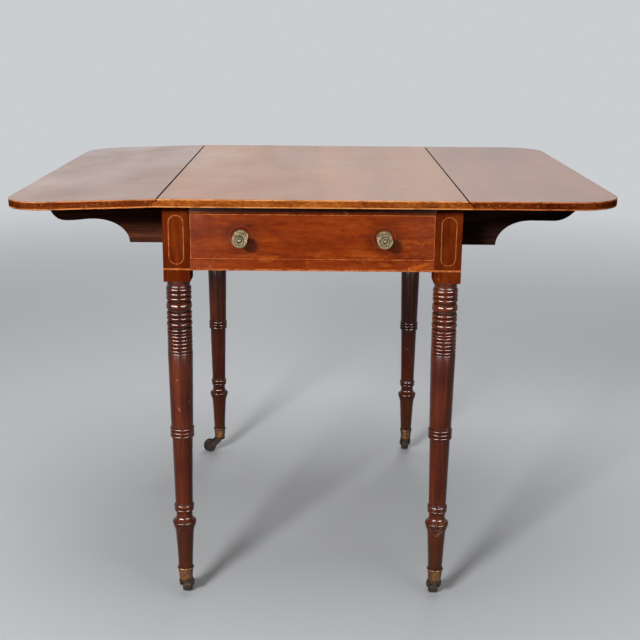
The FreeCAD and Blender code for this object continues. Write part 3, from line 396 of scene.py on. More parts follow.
def frieze_mahogany(name, knobs=(), glow=0.0):
    finish = Finish(name, {"Specular IOR Level": 0.035})
    place = finish.place()
    broad, fine, pores = grain_of(finish, place, X, bands=(60, 6.0), fibres=(300, 22), pores=(1200, 70))
    flecks = finish.noise(finish.scaled(place, (60, 60, 190)), detail=4, roughness=0.65)
    clouds = finish.noise(finish.scaled(place, (7, 7, 12)), detail=3)
    tone = 0.30 * broad + 0.20 * fine + 0.25 * flecks + 0.25 * clouds
    wood = finish.ramp(tone, [(0.37, rgb(104, 34, 9)), (0.49, rgb(134, 50, 13)), (0.61, rgb(156, 66, 18))])
    ends = finish.fade(abs(finish.part(place, "X")), *FRONT_ENDS)
    low = 1 - finish.fade(finish.part(place, "Z"), FRONT_LOW.z, FRONT_LOW.z + LOW_BAND)
    thin = finish.fade(finish.noise(finish.scaled(place, (14, 14, 48)), detail=4, roughness=0.68), 0.50, 0.70)
    worn = thin * (0.30 + glow + 0.35 * ends + 0.35 * low)
    wood = finish.mix(worn, wood, rgb(196, 94, 28))
    wood = finish.mix(0.4 * pores, wood, rgb(56, 16, 6))
    dents = finish.specks(place, 40, 0.09, 0.12)
    wood = finish.mix(0.6 * dents, wood, rgb(36, 12, 6))
    lines = scratches(finish, place, (0, 0.9, 0), (200, 60, 26), 0.022)
    lines = lines + scratches(finish, place, (0, -0.5, 0), (240, 60, 30), 0.02)
    wood = finish.mix(0.5 * lines, wood, rgb(224, 160, 110))
    for middle in knobs:
        away = finish.away(place, (middle.x, FRONT_LOW.y, middle.z))
        halo = 1 - finish.fade(away, *HALO)
        wood = finish.mix(0.5 * halo, wood, rgb(70, 22, 9))
        ring = finish.line(away, OLD_ROSE_R, OLD_ROSE_LINE)
        wood = finish.mix(0.08 * ring, wood, rgb(205, 140, 100))
    # Painted shade of the overhanging top, with some dirt, on the boards of the frieze.
    wood = overhang_shade_and_dirt(finish, place, wood, 0.92)
    rough = 0.10 + 0.12 * flecks + 0.1 * dents
    height = 0.5 * fine - 0.5 * pores - dents
    return finish.feed(base_color=wood, roughness=rough, normal=finish.bump(height, 0.15, 0.0005))


drawer_finish = frieze_mahogany("drawer_front_mahogany", KNOBS)
rail_finish = frieze_mahogany("rail_mahogany", glow=0.15)
print("finishes:", drawer_finish.name, "and", rail_finish.name)

# %% [markdown]
# ## The legs
# The legs are dark, almost oxblood, and the polish is glossy where hands and cloths reach it.
# Grime sits in the grooves between the rings, and painted shade darkens them too, so each leg carries an attribute
# that is 1 in a hollow.
# The material darkens by it, as dirt and as painted shade, and loses gloss there. Shoes and chairs left pale
# scratches, most on one leg.

# %% Finish of the legs
LEG_LOW, LEG_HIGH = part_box("front_left_leg")
LEG_X = middle_of("front_left_leg").x
SCUFFED = (LEG_X, LEG_LOW.y, 0.395), 0.030, 0.085
CHIPPED = (((-LEG_X, LEG_LOW.y, 0.142), 0.010, 0.020), ((-LEG_X, LEG_LOW.y, 0.177), 0.008, 0.018))
FOOT_DIRT = (0.06, 0.22)
PEG = (LEG_HIGH.x - 0.004, LEG_LOW.y, 0.6515), 0.0009, 0.0016


def near_to(finish, place, point, near, far):
    """1 close to a point, 0 far from it."""
    return 1 - finish.fade(finish.away(place, point), near, far)


def leg_mahogany(name, gloss, dark, middle, light):
    finish = Finish(name, {"Specular IOR Level": gloss})
    place = finish.place()
    broad, fine, pores = grain_of(finish, place, Z, bands=(60, 4.0), fibres=(300, 12))
    tone = 0.42 * broad + 0.24 * fine + 0.34 * finish.noise(place, 13, detail=3)
    wood = finish.ramp(tone, [(0.37, dark), (0.5, middle), (0.63, light)])
    wood = finish.mix(0.30 * pores, wood, rgb(36, 10, 4))
    feet = 1 - finish.fade(finish.part(place, "Z"), *FOOT_DIRT)
    wood = finish.mix(0.5 * feet, wood, rgb(76, 46, 26))
    local = near_to(finish, place, *SCUFFED)
    ankle = sum(near_to(finish, place, *spot) for spot in CHIPPED)
    chips = finish.specks(finish.scaled(place, (1, 1, 1.8)), 420, 0.42, 0.40)
    few = scratches(finish, place, (0.5, 0.5, 0), (170, 170, 24), 0.022)
    few = few + scratches(finish, place, (0.2, -1.0, 0), (200, 200, 30), 0.018)
    many = scratches(finish, place, (0.1, 0.35, 0.2), (230, 160, 46), 0.14)
    many = many + scratches(finish, place, (0.1, -0.7, 0.2), (190, 160, 52), 0.12)
    wood = finish.mix(0.5 * few + 0.55 * local * many, wood, rgb(214, 150, 112))
    wood = finish.mix(0.75 * ankle * chips, wood, rgb(226, 196, 172))
    peg = near_to(finish, place, *PEG)
    wood = finish.mix(0.85 * peg, wood, rgb(26, 9, 5))
    # Dark in the hollows between the rings: grime, and painted shade.
    grime = finish.node("ShaderNodeAttribute", {"attribute_name": "grime"}, None, "Fac")
    wood = finish.mix(0.95 * grime, wood, rgb(18, 6, 4))
    # Painted shade of the overhanging top, with some dirt, on the leg blocks.
    wood = overhang_shade_and_dirt(finish, place, wood, 0.6)
    rough = 0.10 + 0.08 * fine + 0.35 * grime
    height = 0.5 * fine - 0.5 * pores
    return finish.feed(base_color=wood, roughness=rough, normal=finish.bump(height, 0.10, 0.0005))


shaft_finish = leg_mahogany("shaft_mahogany", 0.18, rgb(66, 20, 7), rgb(90, 33, 10), rgb(118, 51, 17))
leg_block_finish = leg_mahogany("leg_block_mahogany", 0.0, rgb(76, 23, 8), rgb(104, 39, 12), rgb(132, 57, 19))
print("finishes:", shaft_finish.name, "and", leg_block_finish.name)

# %% [markdown]
# ## Plain woods
# Brackets and knuckle blocks are beech with a thin dark stain, hardly polished.
# The drawer lining and the runners are bare oak or deal, yellowed, with clear straight grain and handling dirt.
# The inlaid strings are boxwood: pale orange under the polish, and broken where bits have been lost.

# %% Finishes of the plain woods
LEAF_SHADE_REACH = (0.095, 0.030)


def plain_wood(name, grain, dark, middle, light, gloss, painted_leaf_shade=0.0):
    """Wood that never had a full polish; the last argument is the share of painted shade under the top and its
    leaf.
    """
    finish = Finish(name, {"Specular IOR Level": 0.0})
    place = finish.place()
    broad, fine, pores = grain_of(finish, place, grain, bands=(55, 2.5), fibres=(320, 9), pores=(1300, 60))
    wood = finish.ramp(0.55 * broad + 0.45 * fine, [(0.36, dark), (0.5, middle), (0.64, light)])
    wood = finish.mix(0.5 * pores, wood, dark)
    dirt = finish.fade(finish.noise(place, 9, detail=5, roughness=0.65), 0.50, 0.72)
    wood = finish.mix(0.35 * dirt, wood, dark)
    # Painted shade cast by the top and the leaf over the upper part of the board.
    if painted_leaf_shade:
        wood = overhang_shade_and_dirt(finish, place, wood, painted_leaf_shade, LEAF_SHADE_REACH)
    rough = gloss + 0.25 * fine
    height = 0.6 * fine - 0.6 * pores
    return finish.feed(base_color=wood, roughness=rough, normal=finish.bump(height, 0.35, 0.0005))


def boxwood():
    finish = Finish("boxwood_string", {"Specular IOR Level": 0.02})
    place = finish.place()
    fine = finish.noise(finish.scaled(place, (160, 160, 160)), detail=3)
    lost = finish.fade(finish.noise(finish.scaled(place, (46, 46, 60)), detail=4, roughness=0.7), 0.50, 0.62)
    wood = finish.ramp(fine, [(0.35, rgb(168, 82, 32)), (0.62, rgb(206, 118, 58))])
    wood = finish.mix(0.80 * lost, wood, rgb(142, 58, 20))
    return finish.feed(base_color=wood, roughness=0.12 + 0.1 * fine, normal=finish.bump(fine, 0.15, 0.0003))


# The brackets on the left take a lighter copy of the wood, painted light, and those on the right a darker copy,
# painted shade.
bracket_finishes_lit_and_shaded = {
    "left": plain_wood("left_bracket_wood_painted_light", X, rgb(54, 28, 19), rgb(92, 52, 37), rgb(126, 75, 54), 0.42, 0.5),
    "right": plain_wood("right_bracket_wood_painted_shade", X, rgb(30, 18, 14), rgb(48, 30, 23), rgb(70, 44, 34), 0.42),
}
block_finish = plain_wood("knuckle_block_wood", Y, rgb(24, 11, 7), rgb(48, 24, 15), rgb(76, 42, 27), 0.42)
underside_finish = plain_wood("underside_wood", Y, rgb(50, 26, 16), rgb(82, 46, 29), rgb(110, 66, 43), 0.55)
lining_tones = rgb(104, 66, 34), rgb(156, 110, 64), rgb(186, 142, 90)
lining_finish = plain_wood("lining_wood", Y, *lining_tones, 0.6)
cross_finish = plain_wood("lining_wood_across", X, *lining_tones, 0.6)
string_finish = boxwood()
print("finishes:", block_finish.name, lining_finish.name, string_finish.name)

# %% [markdown]
# ## Metals
# The knobs are brass that has gone a greenish grey, brighter on the raised rings that fingers touch.
# The castor cups are browner, and the horns and wheels are nearly black with old grease.
# One function makes them all: a metal, a patina that spreads in clouds, dirt in the hollows, and small pits.

# %% Finishes of the metals
def old_metal(name, bright, patina, dirt, spread, gloss):
    """Metal under a patina; spread is how much of it the patina covers."""
    finish = Finish(name, {"Specular IOR Level": 0.3})
    place = finish.place()
    cloud = finish.noise(place, 190, detail=5, roughness=0.65)
    grime = finish.node("ShaderNodeAttribute", {"attribute_name": "grime"}, None, "Fac")
    cover = finish.fade(cloud, 0.70 - spread, 0.92 - spread)
    metal = finish.mix(cover, bright, patina)
    metal = finish.mix(0.85 * grime, metal, dirt)
    pits = finish.specks(place, 520, 0.22, 0.2)
    metal = finish.mix(0.6 * pits, metal, dirt)
    rough = gloss + 0.22 * cover + 0.25 * grime
    metallic = 0.95 - 0.35 * cover - 0.5 * grime
    height = 0.5 * cloud - pits
    return finish.feed(base_color=metal, roughness=rough, metallic=metallic,
                       normal=finish.bump(height, 0.2, 0.0003))


knob_finish = old_metal("knob_brass", rgb(92, 81, 58), rgb(66, 56, 38), rgb(30, 24, 15), 0.30, 0.46)
rose_finish = old_metal("rose_brass", rgb(86, 74, 52), rgb(60, 49, 33), rgb(22, 16, 9), 0.30, 0.42)
cup_finish = old_metal("cup_brass", rgb(116, 76, 38), rgb(52, 33, 20), rgb(26, 17, 11), 0.34, 0.44)
castor_finish = old_metal("castor_bronze", rgb(54, 39, 26), rgb(33, 23, 16), rgb(12, 8, 6), 0.38, 0.62)
iron_finish = old_metal("browned_iron", rgb(92, 82, 76), rgb(62, 46, 38), rgb(28, 20, 16), 0.32, 0.48)
print("finishes:", knob_finish.name, rose_finish.name, cup_finish.name, castor_finish.name, iron_finish.name)

# %% [markdown]
# ## Working on a copy of a CAD board
# CAD edges are razor sharp, and real ones never are: a thin rounded arris is what catches the light.
# A copy of the node is welded together, its long sharp edges are picked in code and bevelled as by hand.
# Weighted normals keep the wide faces flat-looking, although they share their edges with the bevel.

# %% Helpers for worn boards
WELD = 1e-6
FLAT = math.radians(0.2)
SOFT = math.radians(32)
SHARP = math.radians(35)


def only(piece):
    """Selects one object and nothing else."""
    bpy.ops.object.select_all(action="DESELECT")
    piece.select_set(True)
    bpy.context.view_layer.objects.active = piece


def pick_edges(piece, test):
    """In edit mode, selects the edges that pass a test, and says how many they are."""
    bpy.ops.mesh.select_mode(type="EDGE")
    bpy.ops.mesh.select_all(action="DESELECT")
    shape = bmesh.from_edit_mesh(piece.data)
    for edge in shape.edges:
        edge.select = test(edge)
    shape.select_flush_mode()
    bmesh.update_edit_mesh(piece.data)
    return sum(edge.select for edge in shape.edges)


def smooth(piece):
    """Smooth shading with sharp edges kept, and normals led by the largest faces."""
    only(piece)
    bpy.ops.object.shade_smooth_by_angle(angle=SOFT)
    weighted = piece.modifiers.new("weighted", "WEIGHTED_NORMAL")
    weighted.keep_sharp = True
    bpy.ops.object.modifier_apply(modifier=weighted.name)


def dress(piece, node, *finishes):
    """Makes a piece stand for a CAD node: its body and its finishes."""
    piece.data.materials.clear()
    for finish in finishes:
        piece.data.materials.append(finish)
    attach(piece, body_of[node])
    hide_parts(node)
    return piece


def worn_copy(node, width, shortest, above=None):
    """A welded copy of a CAD piece, cut off below a height if one is given, its longer sharp arrises rounded."""
    piece = bpy.data.objects.new(f"{node}_worn", nodes[node].data.copy())
    bpy.context.scene.collection.objects.link(piece)
    only(piece)
    bpy.ops.object.mode_set(mode="EDIT")
    bpy.ops.mesh.select_all(action="SELECT")
    bpy.ops.mesh.remove_doubles(threshold=WELD)
    bpy.ops.mesh.dissolve_limited(angle_limit=FLAT)
    if above is not None:
        bpy.ops.mesh.select_all(action="SELECT")
        bpy.ops.mesh.bisect(plane_co=(0, 0, above), plane_no=(0, 0, 1), clear_inner=True, use_fill=True)
    if pick_edges(piece, lambda edge: edge.calc_length() > shortest and edge.calc_face_angle(0) > SHARP):
        bpy.ops.mesh.bevel(offset=width, segments=2, clamp_overlap=False)
    bpy.ops.object.mode_set(mode="OBJECT")
    smooth(piece)
    return piece


def faces_to_slot(piece, index, test):
    """Gives the faces that pass a test to one of the piece's material slots."""
    for face in piece.data.polygons:
        if test(face):
            face.material_index = index


print("helpers ready")

# %% [markdown]
# ## Turning on the lathe
# Knobs, cups, wheels and the shafts of the legs are turned work: one outline, carried round an axis.
# A single point is extruded along the outline, as a hand would trace it, and Spin takes the line round.
# Each row of an outline also says how much grime and painted shade sit there, so that grooves are dark and crowns
# are clean.

# %% The lathe
MM = 0.001
FACETS = 64
CREASE = math.radians(38)


def set_grime_and_shade(piece, values):
    """Stores one value of grime and painted shade per vertex, for the finishes to read."""
    layer = piece.data.attributes.new("grime", "FLOAT", "POINT")
    layer.data.foreach_set("value", values)


def turned(name, outline, facets=FACETS):
    """Spins rows of (radius, height, grime and painted shade), in millimetres, round the Z axis."""
    points = [Vector((row[0], 0, row[1])) * MM for row in outline]
    bpy.ops.object.select_all(action="DESELECT")
    bpy.ops.mesh.primitive_plane_add(size=MM, location=(0, 0, 0))
    piece = bpy.context.active_object
    piece.name = name
    bpy.ops.object.mode_set(mode="EDIT")
    bpy.ops.mesh.select_mode(type="VERT")
    bpy.ops.mesh.select_all(action="SELECT")
    bpy.ops.mesh.merge(type="CENTER")
    bpy.ops.transform.translate(value=points[0])
    for start, end in zip(points, points[1:]):
        bpy.ops.mesh.extrude_region_move(TRANSFORM_OT_translate={"value": end - start})
    bpy.ops.mesh.select_all(action="SELECT")
    bpy.ops.mesh.spin(steps=facets, angle=math.tau, center=(0, 0, 0), axis=(0, 0, 1))
    bpy.ops.mesh.select_all(action="SELECT")
    bpy.ops.mesh.remove_doubles(threshold=WELD)
    bpy.ops.mesh.normals_make_consistent(inside=False)
    bpy.ops.object.mode_set(mode="OBJECT")
    bpy.ops.object.shade_smooth_by_angle(angle=CREASE)
    rows = KDTree(len(points))
    for index, point in enumerate(points):
        rows.insert(point, index)
    rows.balance()
    nearest = [rows.find((math.hypot(v.co.x, v.co.y), 0, v.co.z))[1] for v in piece.data.vertices]
    set_grime_and_shade(piece, [outline[index][2] for index in nearest])
    return piece


def placed(pattern, name, matrix):
    """A copy of a turned pattern with its own mesh, set in its place."""
    piece = bpy.data.objects.new(name, pattern.data.copy())
    piece.data.transform(matrix)
    bpy.context.scene.collection.objects.link(piece)
    return piece


def clear(pattern):
    """Takes a pattern off the bench once its copies are made."""
    bpy.data.objects.remove(pattern)


def plain(*rows):
    """Rows of an outline without grime or painted shade."""
    return [(radius, height, 0.0) for radius, height in rows]


def ring(high, low, root, crown, parts=8, fullness=2.0):
    """A rounded ring between two heights, with grime and painted shade at its roots; above 2, fullness flattens
    the crown.
    """
    rows = []
    for part in range(parts + 1):
        across = math.cos(math.pi * part / parts)
        rise = (1 - abs(across) ** fullness) ** (1 / fullness)
        height = (high + low) / 2 + (high - low) / 2 * across
        rows.append((root + (crown - root) * rise, height, (1 - rise) ** 1.4))
    return rows


def rings(high, count, pitch, root, crown):
    """A row of equal rings, downwards."""
    return [row for i in range(count) for row in ring(high - i * pitch, high - (i + 1) * pitch, root, crown)]


print("the lathe makes", FACETS, "facets a turn")

# %% [markdown]
# ## Top and leaves
# The rule joint is the table's finest joinery: a quarter-round on the fixed top rolls in a hollow of each leaf.
# The CAD boards have that shape. Here their arrises are softened, and the edge faces get their own finish,
# picked by the way they face: whatever doesn't look up or down is edge. The undersides were never polished.

# %% Top and leaves
UPRIGHT_FACE = 0.6
JOINT_X = TOP_HIGH.x
JOINT_REACH = 0.016
JOINT_INSET = 0.004
ARRIS = 0.0010
ARRIS_TILT = 0.25


def in_joint(face):
    """True for a face of a rule joint: near its line, and on the rounded arris or below it."""
    beside = abs(abs(face.center.x) - JOINT_X + JOINT_INSET) < JOINT_REACH
    worn = face.center.z < TOP_HIGH.z - ARRIS or abs(face.normal.x) > ARRIS_TILT
    return beside and abs(face.normal.y) < UPRIGHT_FACE and worn


for board in ("fixed_top", "left_leaf", "right_leaf"):
    face_finish = leaf_finishes.get(board, top_finish)
    edge_finish = leaf_edge_finishes.get(board, top_edge_finish)
    piece = dress(worn_copy(board, width=0.0007, shortest=0.02), board,
                  face_finish, edge_finish, joint_finish, underside_finish)
    faces_to_slot(piece, 1, lambda face: abs(face.normal.z) < UPRIGHT_FACE)
    faces_to_slot(piece, 2, in_joint)
    faces_to_slot(piece, 3, lambda face: face.normal.z < -UPRIGHT_FACE)
    print(board, "has", len(piece.data.polygons), "faces")

# %% [markdown]
# ## Frieze, rails and legs
# Drawer fronts, front rails and leg blocks are worked the same way, with a finer bevel round the inlay grooves.
# The CAD leg is cut off under its block by Bisect, and its shaft is turned anew with crisp rings: a neck,
# three collar rings, a fat ring, a pair, a smaller fat ring, reeds, a long taper, and a bulb above the foot.

# %% Frieze and legs
for board, finish in {"drawer_front": drawer_finish, "sham_drawer_front": drawer_finish,
                      "front_top_rail": rail_finish, "front_bottom_rail": rail_finish}.items():
    dress(worn_copy(board, width=0.0004, shortest=0.01), board, finish)

BLOCK_FOOT = 587.0
for corner in CORNERS:
    node = f"{corner}_leg"
    dress(worn_copy(node, width=0.0007, shortest=0.012, above=BLOCK_FOOT * MM), node, leg_block_finish)
print("frieze boards and", len(CORNERS), "leg blocks are worn")

# %% Outline of a shaft
SHAFT = (
    [(0, 589, 0), (19.8, 589, 1), (19.8, 586.7, 0.8)] + plain((19.4, 584), (19.1, 580.5), (19.2, 577.5))
    + rings(575.5, 3, 7.9, 19.3, 21.3)
    + [(17.6, 551.7, 1), (16.8, 550.6, 1)]
    + ring(550.0, 535.0, 16.8, 21.6, 16, 2.6)
    + [(16.8, 534.4, 1), (17.6, 533.3, 1)]
    + rings(533.2, 2, 7.7, 19.0, 21.3)
    + [(17.7, 517.7, 1), (17.0, 516.8, 1)]
    + ring(516.4, 506.2, 17.0, 21.6, 14, 2.5)
    + [(17.0, 505.8, 1), (17.7, 504.9, 1)]
    + ring(504.8, 498.2, 19.2, 21.3) + ring(498.2, 493.8, 19.8, 21.2)
    + rings(493.8, 5, 6.4, 19.5, 21.2)
    + [(21.0, 461.6, 0.8), (21.2, 460.4, 0.1)] + plain((20.7, 430), (20.2, 400), (19.6, 365), (18.95, 329))
    + [(18.8, 327.4, 0.9)]
    + rings(327.2, 3, 6.4, 18.6, 20.7)
    + [(17.8, 307.8, 0.9), (17.6, 306.2, 0.1)] + plain((17.1, 280), (16.5, 250), (15.9, 220), (15.25, 186))
    + [(15.1, 184.0, 0.9)]
    + ring(183.6, 174.6, 15.2, 17.4) + ring(174.6, 169.4, 15.4, 16.9, 6)
    + [(14.6, 169.2, 0.9), (14.25, 167.6, 0.3)]
    + plain((14.1, 163), (14.2, 159.2), (14.8, 156.8), (16.2, 154.4), (18.2, 152.4)) + [(19.5, 151.5, 0.7)]
    + ring(151.4, 145.6, 19.6, 20.8, 6)
    + [(19.9, 145.4, 0.9), (19.9, 144.6, 0.2)] + plain((19.4, 142.2), (18.4, 139), (17.3, 136), (16.5, 133))
    + plain((15.9, 128), (15.3, 120), (14.7, 110), (14.1, 98), (13.5, 86), (13.0, 74), (12.7, 66))
    + [(12.6, 62, 0.4), (12.6, 59, 1), (0, 59, 1)]
)
shaft = turned("shaft", SHAFT)
print("a shaft has", len(shaft.data.polygons), "faces")

# %% Four shafts
for corner in CORNERS:
    middle = middle_of(f"{corner}_leg")
    stand = Matrix.Translation((middle.x, middle.y, 0))
    dress(placed(shaft, f"{corner}_shaft", stand), f"{corner}_leg", shaft_finish)
clear(shaft)
print(len(CORNERS), "legs stand on their shafts")

# %% [markdown]
# ## Fly brackets
# Four brackets swing out on wooden knuckles to hold the leaves up, between fixed pieces of the same rail.
# The short edges that make up their curves stay crisp, and only the long arrises are rounded.

# %% Fly brackets
for corner in CORNERS:
    node = f"{corner}_bracket"
    dress(worn_copy(node, width=0.0008, shortest=0.006), node, bracket_finishes_lit_and_shaded[corner.split("_")[1]])
fly_rails = [f"{side}_{part}" for side in SIDES for part in ("knuckle_blocks", "fly_centre")]
for node in fly_rails:
    dress(worn_copy(node, width=0.0008, shortest=0.006), node, block_finish)
print(len(CORNERS), "brackets and", len(fly_rails), "fixed pieces of the fly rails are worn")

# %% [markdown]
# ## Turned brass
# Each knob is a deep dish with a rim, a ridge and a small boss, on a flared neck with a thin rose behind it.
# The dirt of years lies in the grooves of the face, and fingers keep the rim and the ridge bright.
# Cups close the feet, and the wheels have dished sides and a tread that long use has rounded.

# %% Knobs and roses
KNOB = (
    plain((0, 1.0), (4.2, 1.0), (4.2, 2.6), (3.8, 4.0), (3.6, 8.0), (3.7, 12.0), (4.4, 16.0), (6.0, 19.0),
          (8.6, 22.5), (10.6, 25.5), (11.9, 28.2), (12.4, 28.9), (12.9, 29.6), (13.0, 30.5), (13.0, 32.0),
          (12.8, 32.7), (12.3, 33.0), (11.7, 33.0))
    + [(11.4, 32.6, 0.9), (10.9, 32.6, 0.9)] + plain((10.6, 33.0), (9.9, 33.0), (9.5, 32.8))
    + [(8.9, 32.1, 0.8), (7.8, 32.1, 0.8)] + plain((7.0, 33.2), (6.5, 33.9), (5.7, 33.9), (5.2, 33.6))
    + [(4.6, 32.3, 0.9), (3.0, 32.1, 1.0)] + plain((2.2, 32.5), (1.6, 33.0), (0.8, 33.25), (0, 33.3))
)
ROSE = [(0, 0, 1), (12.5, 0, 1), (12.5, 1.3, 0.3), (12.2, 2.0, 0), (11.4, 2.5, 0), (10.4, 2.6, 0), (6.0, 2.6, 0.3),
        (4.6, 2.6, 1), (0, 2.6, 1)]
REAR_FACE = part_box("sham_drawer_front")[1].y
KNOB_TRIM = 0.95
KNOB_FACETS = 72
knob = turned("knob", [(KNOB_TRIM * radius, out, grime) for radius, out, grime in KNOB], KNOB_FACETS)
rose = turned("rose", ROSE, KNOB_FACETS)
for side, middle in zip(SIDES, KNOBS):
    forwards = Matrix.Translation((middle.x, FRONT_LOW.y, middle.z)) @ Matrix.Rotation(math.pi / 2, 4, "X")
    rearwards = Matrix.Translation((middle.x, REAR_FACE, middle.z)) @ Matrix.Rotation(-math.pi / 2, 4, "X")
    dress(placed(knob, f"drawer_{side}_knob_turned", forwards), f"drawer_{side}_knob", knob_finish)
    dress(placed(rose, f"drawer_{side}_rose", forwards), "drawer_knob_roses", rose_finish)
    dress(placed(knob, f"sham_{side}_knob", rearwards), "sham_knobs", knob_finish)
    dress(placed(rose, f"sham_{side}_rose", rearwards), "sham_knob_roses", rose_finish)
clear(knob)
clear(rose)
print("four knobs, two of them on the sham drawer at the back")

# %% Cups and wheels
CUP = (
    [(0, 59.8, 1), (12.6, 59.8, 1)] + plain((13.9, 60.25), (14.45, 59.6), (14.5, 58.6), (14.1, 57.4))
    + [(13.3, 56.4, 0.6), (13.05, 55.6, 0.9)]
    + plain((13.0, 54.6), (12.85, 53), (12.2, 46), (11.5, 39), (11.35, 37.6))
    + [(11.0, 36.6, 0.3), (10.4, 36.05, 0.9), (0, 36.05, 1)]
)
HALF_WHEEL = (
    plain((1.75, -7.9), (4.3, -8.0), (4.7, -7.7)) + [(5.4, -6.2, 0.8), (10.6, -6.0, 0.8)]
    + plain((11.4, -7.6), (11.9, -8.0), (13.3, -7.9), (13.95, -7.4), (14.5, -5.5), (14.85, -3.0), (15.0, 0))
)
WHEEL = HALF_WHEEL + [(r, -h, g) for r, h, g in reversed(HALF_WHEEL[:-1])] + HALF_WHEEL[:1]
WHEEL_FACETS = 48
cup, wheel = turned("cup", CUP), turned("wheel", WHEEL, WHEEL_FACETS)
for corner in CORNERS:
    middle = middle_of(f"{corner}_leg")
    stand = Matrix.Translation((middle.x, middle.y, 0))
    dress(placed(cup, f"{corner}_cup", stand), "castor_cups", cup_finish)
    node = f"{corner}_castor_wheel"
    low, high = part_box(node)
    spin_axis = "Y" if high.x - low.x < high.y - low.y else "X"
    stand = Matrix.Translation(middle_of(node)) @ Matrix.Rotation(math.pi / 2, 4, spin_axis)
    dress(placed(wheel, f"{corner}_wheel", stand), node, castor_finish)
    horn = f"{corner}_castor_horn"
    dress(worn_copy(horn, width=0.0005, shortest=0.002), horn, castor_finish)
clear(cup)
clear(wheel)
print("four castors: cup, horn and wheel")

# %% [markdown]
# ## What stays as it is
# The drawer's lining, the runners, the rear rail, the hinges and the pins are plain shapes, as the CAD has them.
# They only take their finish, in the slot of the CAD node itself.

# %% Finishes on CAD pieces
PLAIN = {
    lining_finish: ["left_inner_rail", "right_inner_rail", "left_runner", "right_runner", "left_kicker",
                    "right_kicker", "drawer_left_side", "drawer_right_side", "drawer_stops"],
    cross_finish: ["drawer_back", "drawer_bottom"],
    rail_finish: ["rear_rail"],
    string_finish: ["frame_stringing", "drawer_stringing"],
    iron_finish: ["bracket_pins"] + [f"{side}_hinge_{part}" for side in SIDES
                                     for part in ("top_plates", "leaf_plates", "pins")],
    castor_finish: [f"{corner}_castor_axle" for corner in CORNERS],
}
for finish, names in PLAIN.items():
    for name in names:
        nodes[name].data.materials.clear()
        nodes[name].data.materials.append(finish)
print("finished in place:", sum(len(names) for names in PLAIN.values()), "CAD nodes")

# %% [markdown]
# ## Floor and light
# A pale floor takes the shadow. Far out it fades away, so that no horizon cuts the picture behind the table.
# The room is a soft grey to the eye and to the polish, but it gives only a little light of its own:
# Light Path tells the rays apart. Two soft boxes in front do the work, and two others help from above.
# Polish needs something bright to mirror, so two low strips are seen by glossy rays alone:
# they draw the bright lines on the rings of the legs. The front boxes, in turn, leave no glare on the top.

# %% Floor
FLOOR_R = 9.0
FLOOR_SIDES = 96
FLOOR_GREY = rgb(198, 200, 203)
BOUNCED_GREY = rgb(120, 121, 123)
FADE_OUT = (1.5, 4.4)

bpy.ops.object.select_all(action="DESELECT")
bpy.ops.mesh.primitive_circle_add(vertices=FLOOR_SIDES, radius=FLOOR_R, fill_type="NGON", location=(0, 0, 0))
floor = bpy.context.active_object
floor.name = "floor"
bpy.ops.object.mode_set(mode="EDIT")
bpy.ops.mesh.select_all(action="SELECT")
bpy.ops.mesh.inset(thickness=FLOOR_R / 2, depth=0)
bpy.ops.object.mode_set(mode="OBJECT")

paint = Finish("pale_floor", {"Roughness": 0.85, "Specular IOR Level": 0.0})
shown = paint.node("ShaderNodeLightPath", out="Is Camera Ray")
for ray in ("Is Glossy Ray", "Is Transmission Ray"):
    shown = shown.math("MAXIMUM", shown, paint.node("ShaderNodeLightPath", out=ray))
paint.feed(base_color=paint.mix(shown, BOUNCED_GREY, FLOOR_GREY))
out = paint.fade(paint.away(paint.place(), (0, 0, 0)), *FADE_OUT)
see_through = paint.node("ShaderNodeBsdfTransparent")
paint.surface("Material Output", paint.blend(out, Wire(paint, paint.principled.outputs[0]), see_through))
floor.data.materials.append(paint.material)
print("floor of", len(floor.data.polygons), "faces")

# %% Room
ROOM_TONE = rgb(203, 206, 209)
MIRRORED_LEFT, MIRRORED_RIGHT, MIRRORED_HIGH = rgb(254, 254, 255), rgb(220, 220, 222), rgb(208, 202, 198)
LEFT_TO_RIGHT, LOW_TO_HIGH = (-0.15, 0.12), (0.125, 0.20)
ROOM_LIGHT = 0.13

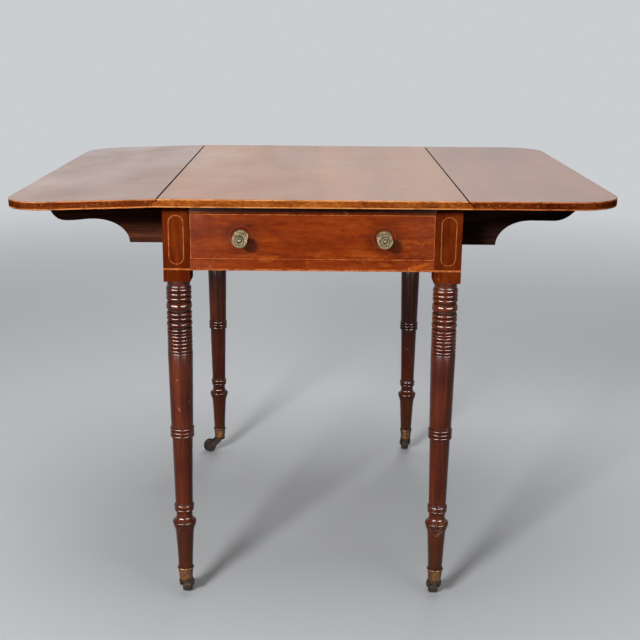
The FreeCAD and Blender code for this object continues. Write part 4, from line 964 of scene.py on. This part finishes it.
world = bpy.data.worlds.new("room")
bpy.context.scene.world = world
world.use_nodes = True
room = Shader(world.node_tree)
seen_by_eye = room.node("ShaderNodeLightPath", out="Is Camera Ray")
mirrored = room.node("ShaderNodeLightPath", out="Is Glossy Ray")
mirrored = mirrored.math("MAXIMUM", mirrored, room.node("ShaderNodeLightPath", out="Is Transmission Ray"))
light = room.node("ShaderNodeBackground", None, {"Color": (1, 1, 1, 1), "Strength": ROOM_LIGHT})
towards = room.node("ShaderNodeTexCoord", out="Generated")
wall = room.mix(room.fade(room.part(towards, "X"), *LEFT_TO_RIGHT), MIRRORED_LEFT, MIRRORED_RIGHT)
wall = room.mix(room.fade(room.part(towards, "Z"), *LOW_TO_HIGH), wall, MIRRORED_HIGH)
polish = room.node("ShaderNodeBackground", None, {"Color": wall, "Strength": 1.0})
eye = room.node("ShaderNodeBackground", None, {"Color": ROOM_TONE, "Strength": 1.0})
room.surface("World Output", room.blend(seen_by_eye, room.blend(mirrored, light, polish), eye))
print("room light", ROOM_LIGHT)

# %% Lamps
LAMPS = {
    "key_box": ((-1.25, -2.75, 1.8), (0, -0.35, 0.6), 0.6, 0.5, 78),
    "fill_box": ((1.5, -2.5, 2.1), (0, -0.35, 0.6), 1.2, 0.8, 10),
    "overhead_box": ((0.0, 0.1, 3.3), (0, 0, 0.7), 2.6, 2.6, 50),
    "rear_box": ((0.7, 3.1, 2.9), (0, 0.3, 0.5), 1.6, 1.6, 34),
    "left_strip": ((-1.43, -1.95, 0.525), (-0.64, -0.22, 0.5), 1.92, 0.45, 230),
    "right_strip": ((1.45, -1.95, 0.525), (0.66, -0.22, 0.5), 1.92, 0.45, 165),
}
for name, (spot, aim, width, height, watts) in LAMPS.items():
    lamp = bpy.data.lights.new(name, "AREA")
    lamp.shape = "RECTANGLE"
    lamp.size, lamp.size_y = width, height
    lamp.energy = watts
    holder = bpy.data.objects.new(name, lamp)
    bpy.context.scene.collection.objects.link(holder)
    holder.location = spot
    holder.rotation_euler = (Vector(aim) - Vector(spot)).to_track_quat("-Z", "Y").to_euler()
    holder.visible_camera = False
    holder.visible_diffuse = "strip" not in name
    holder.visible_glossy = name not in ("key_box", "fill_box")
print("lamps:", ", ".join(LAMPS))
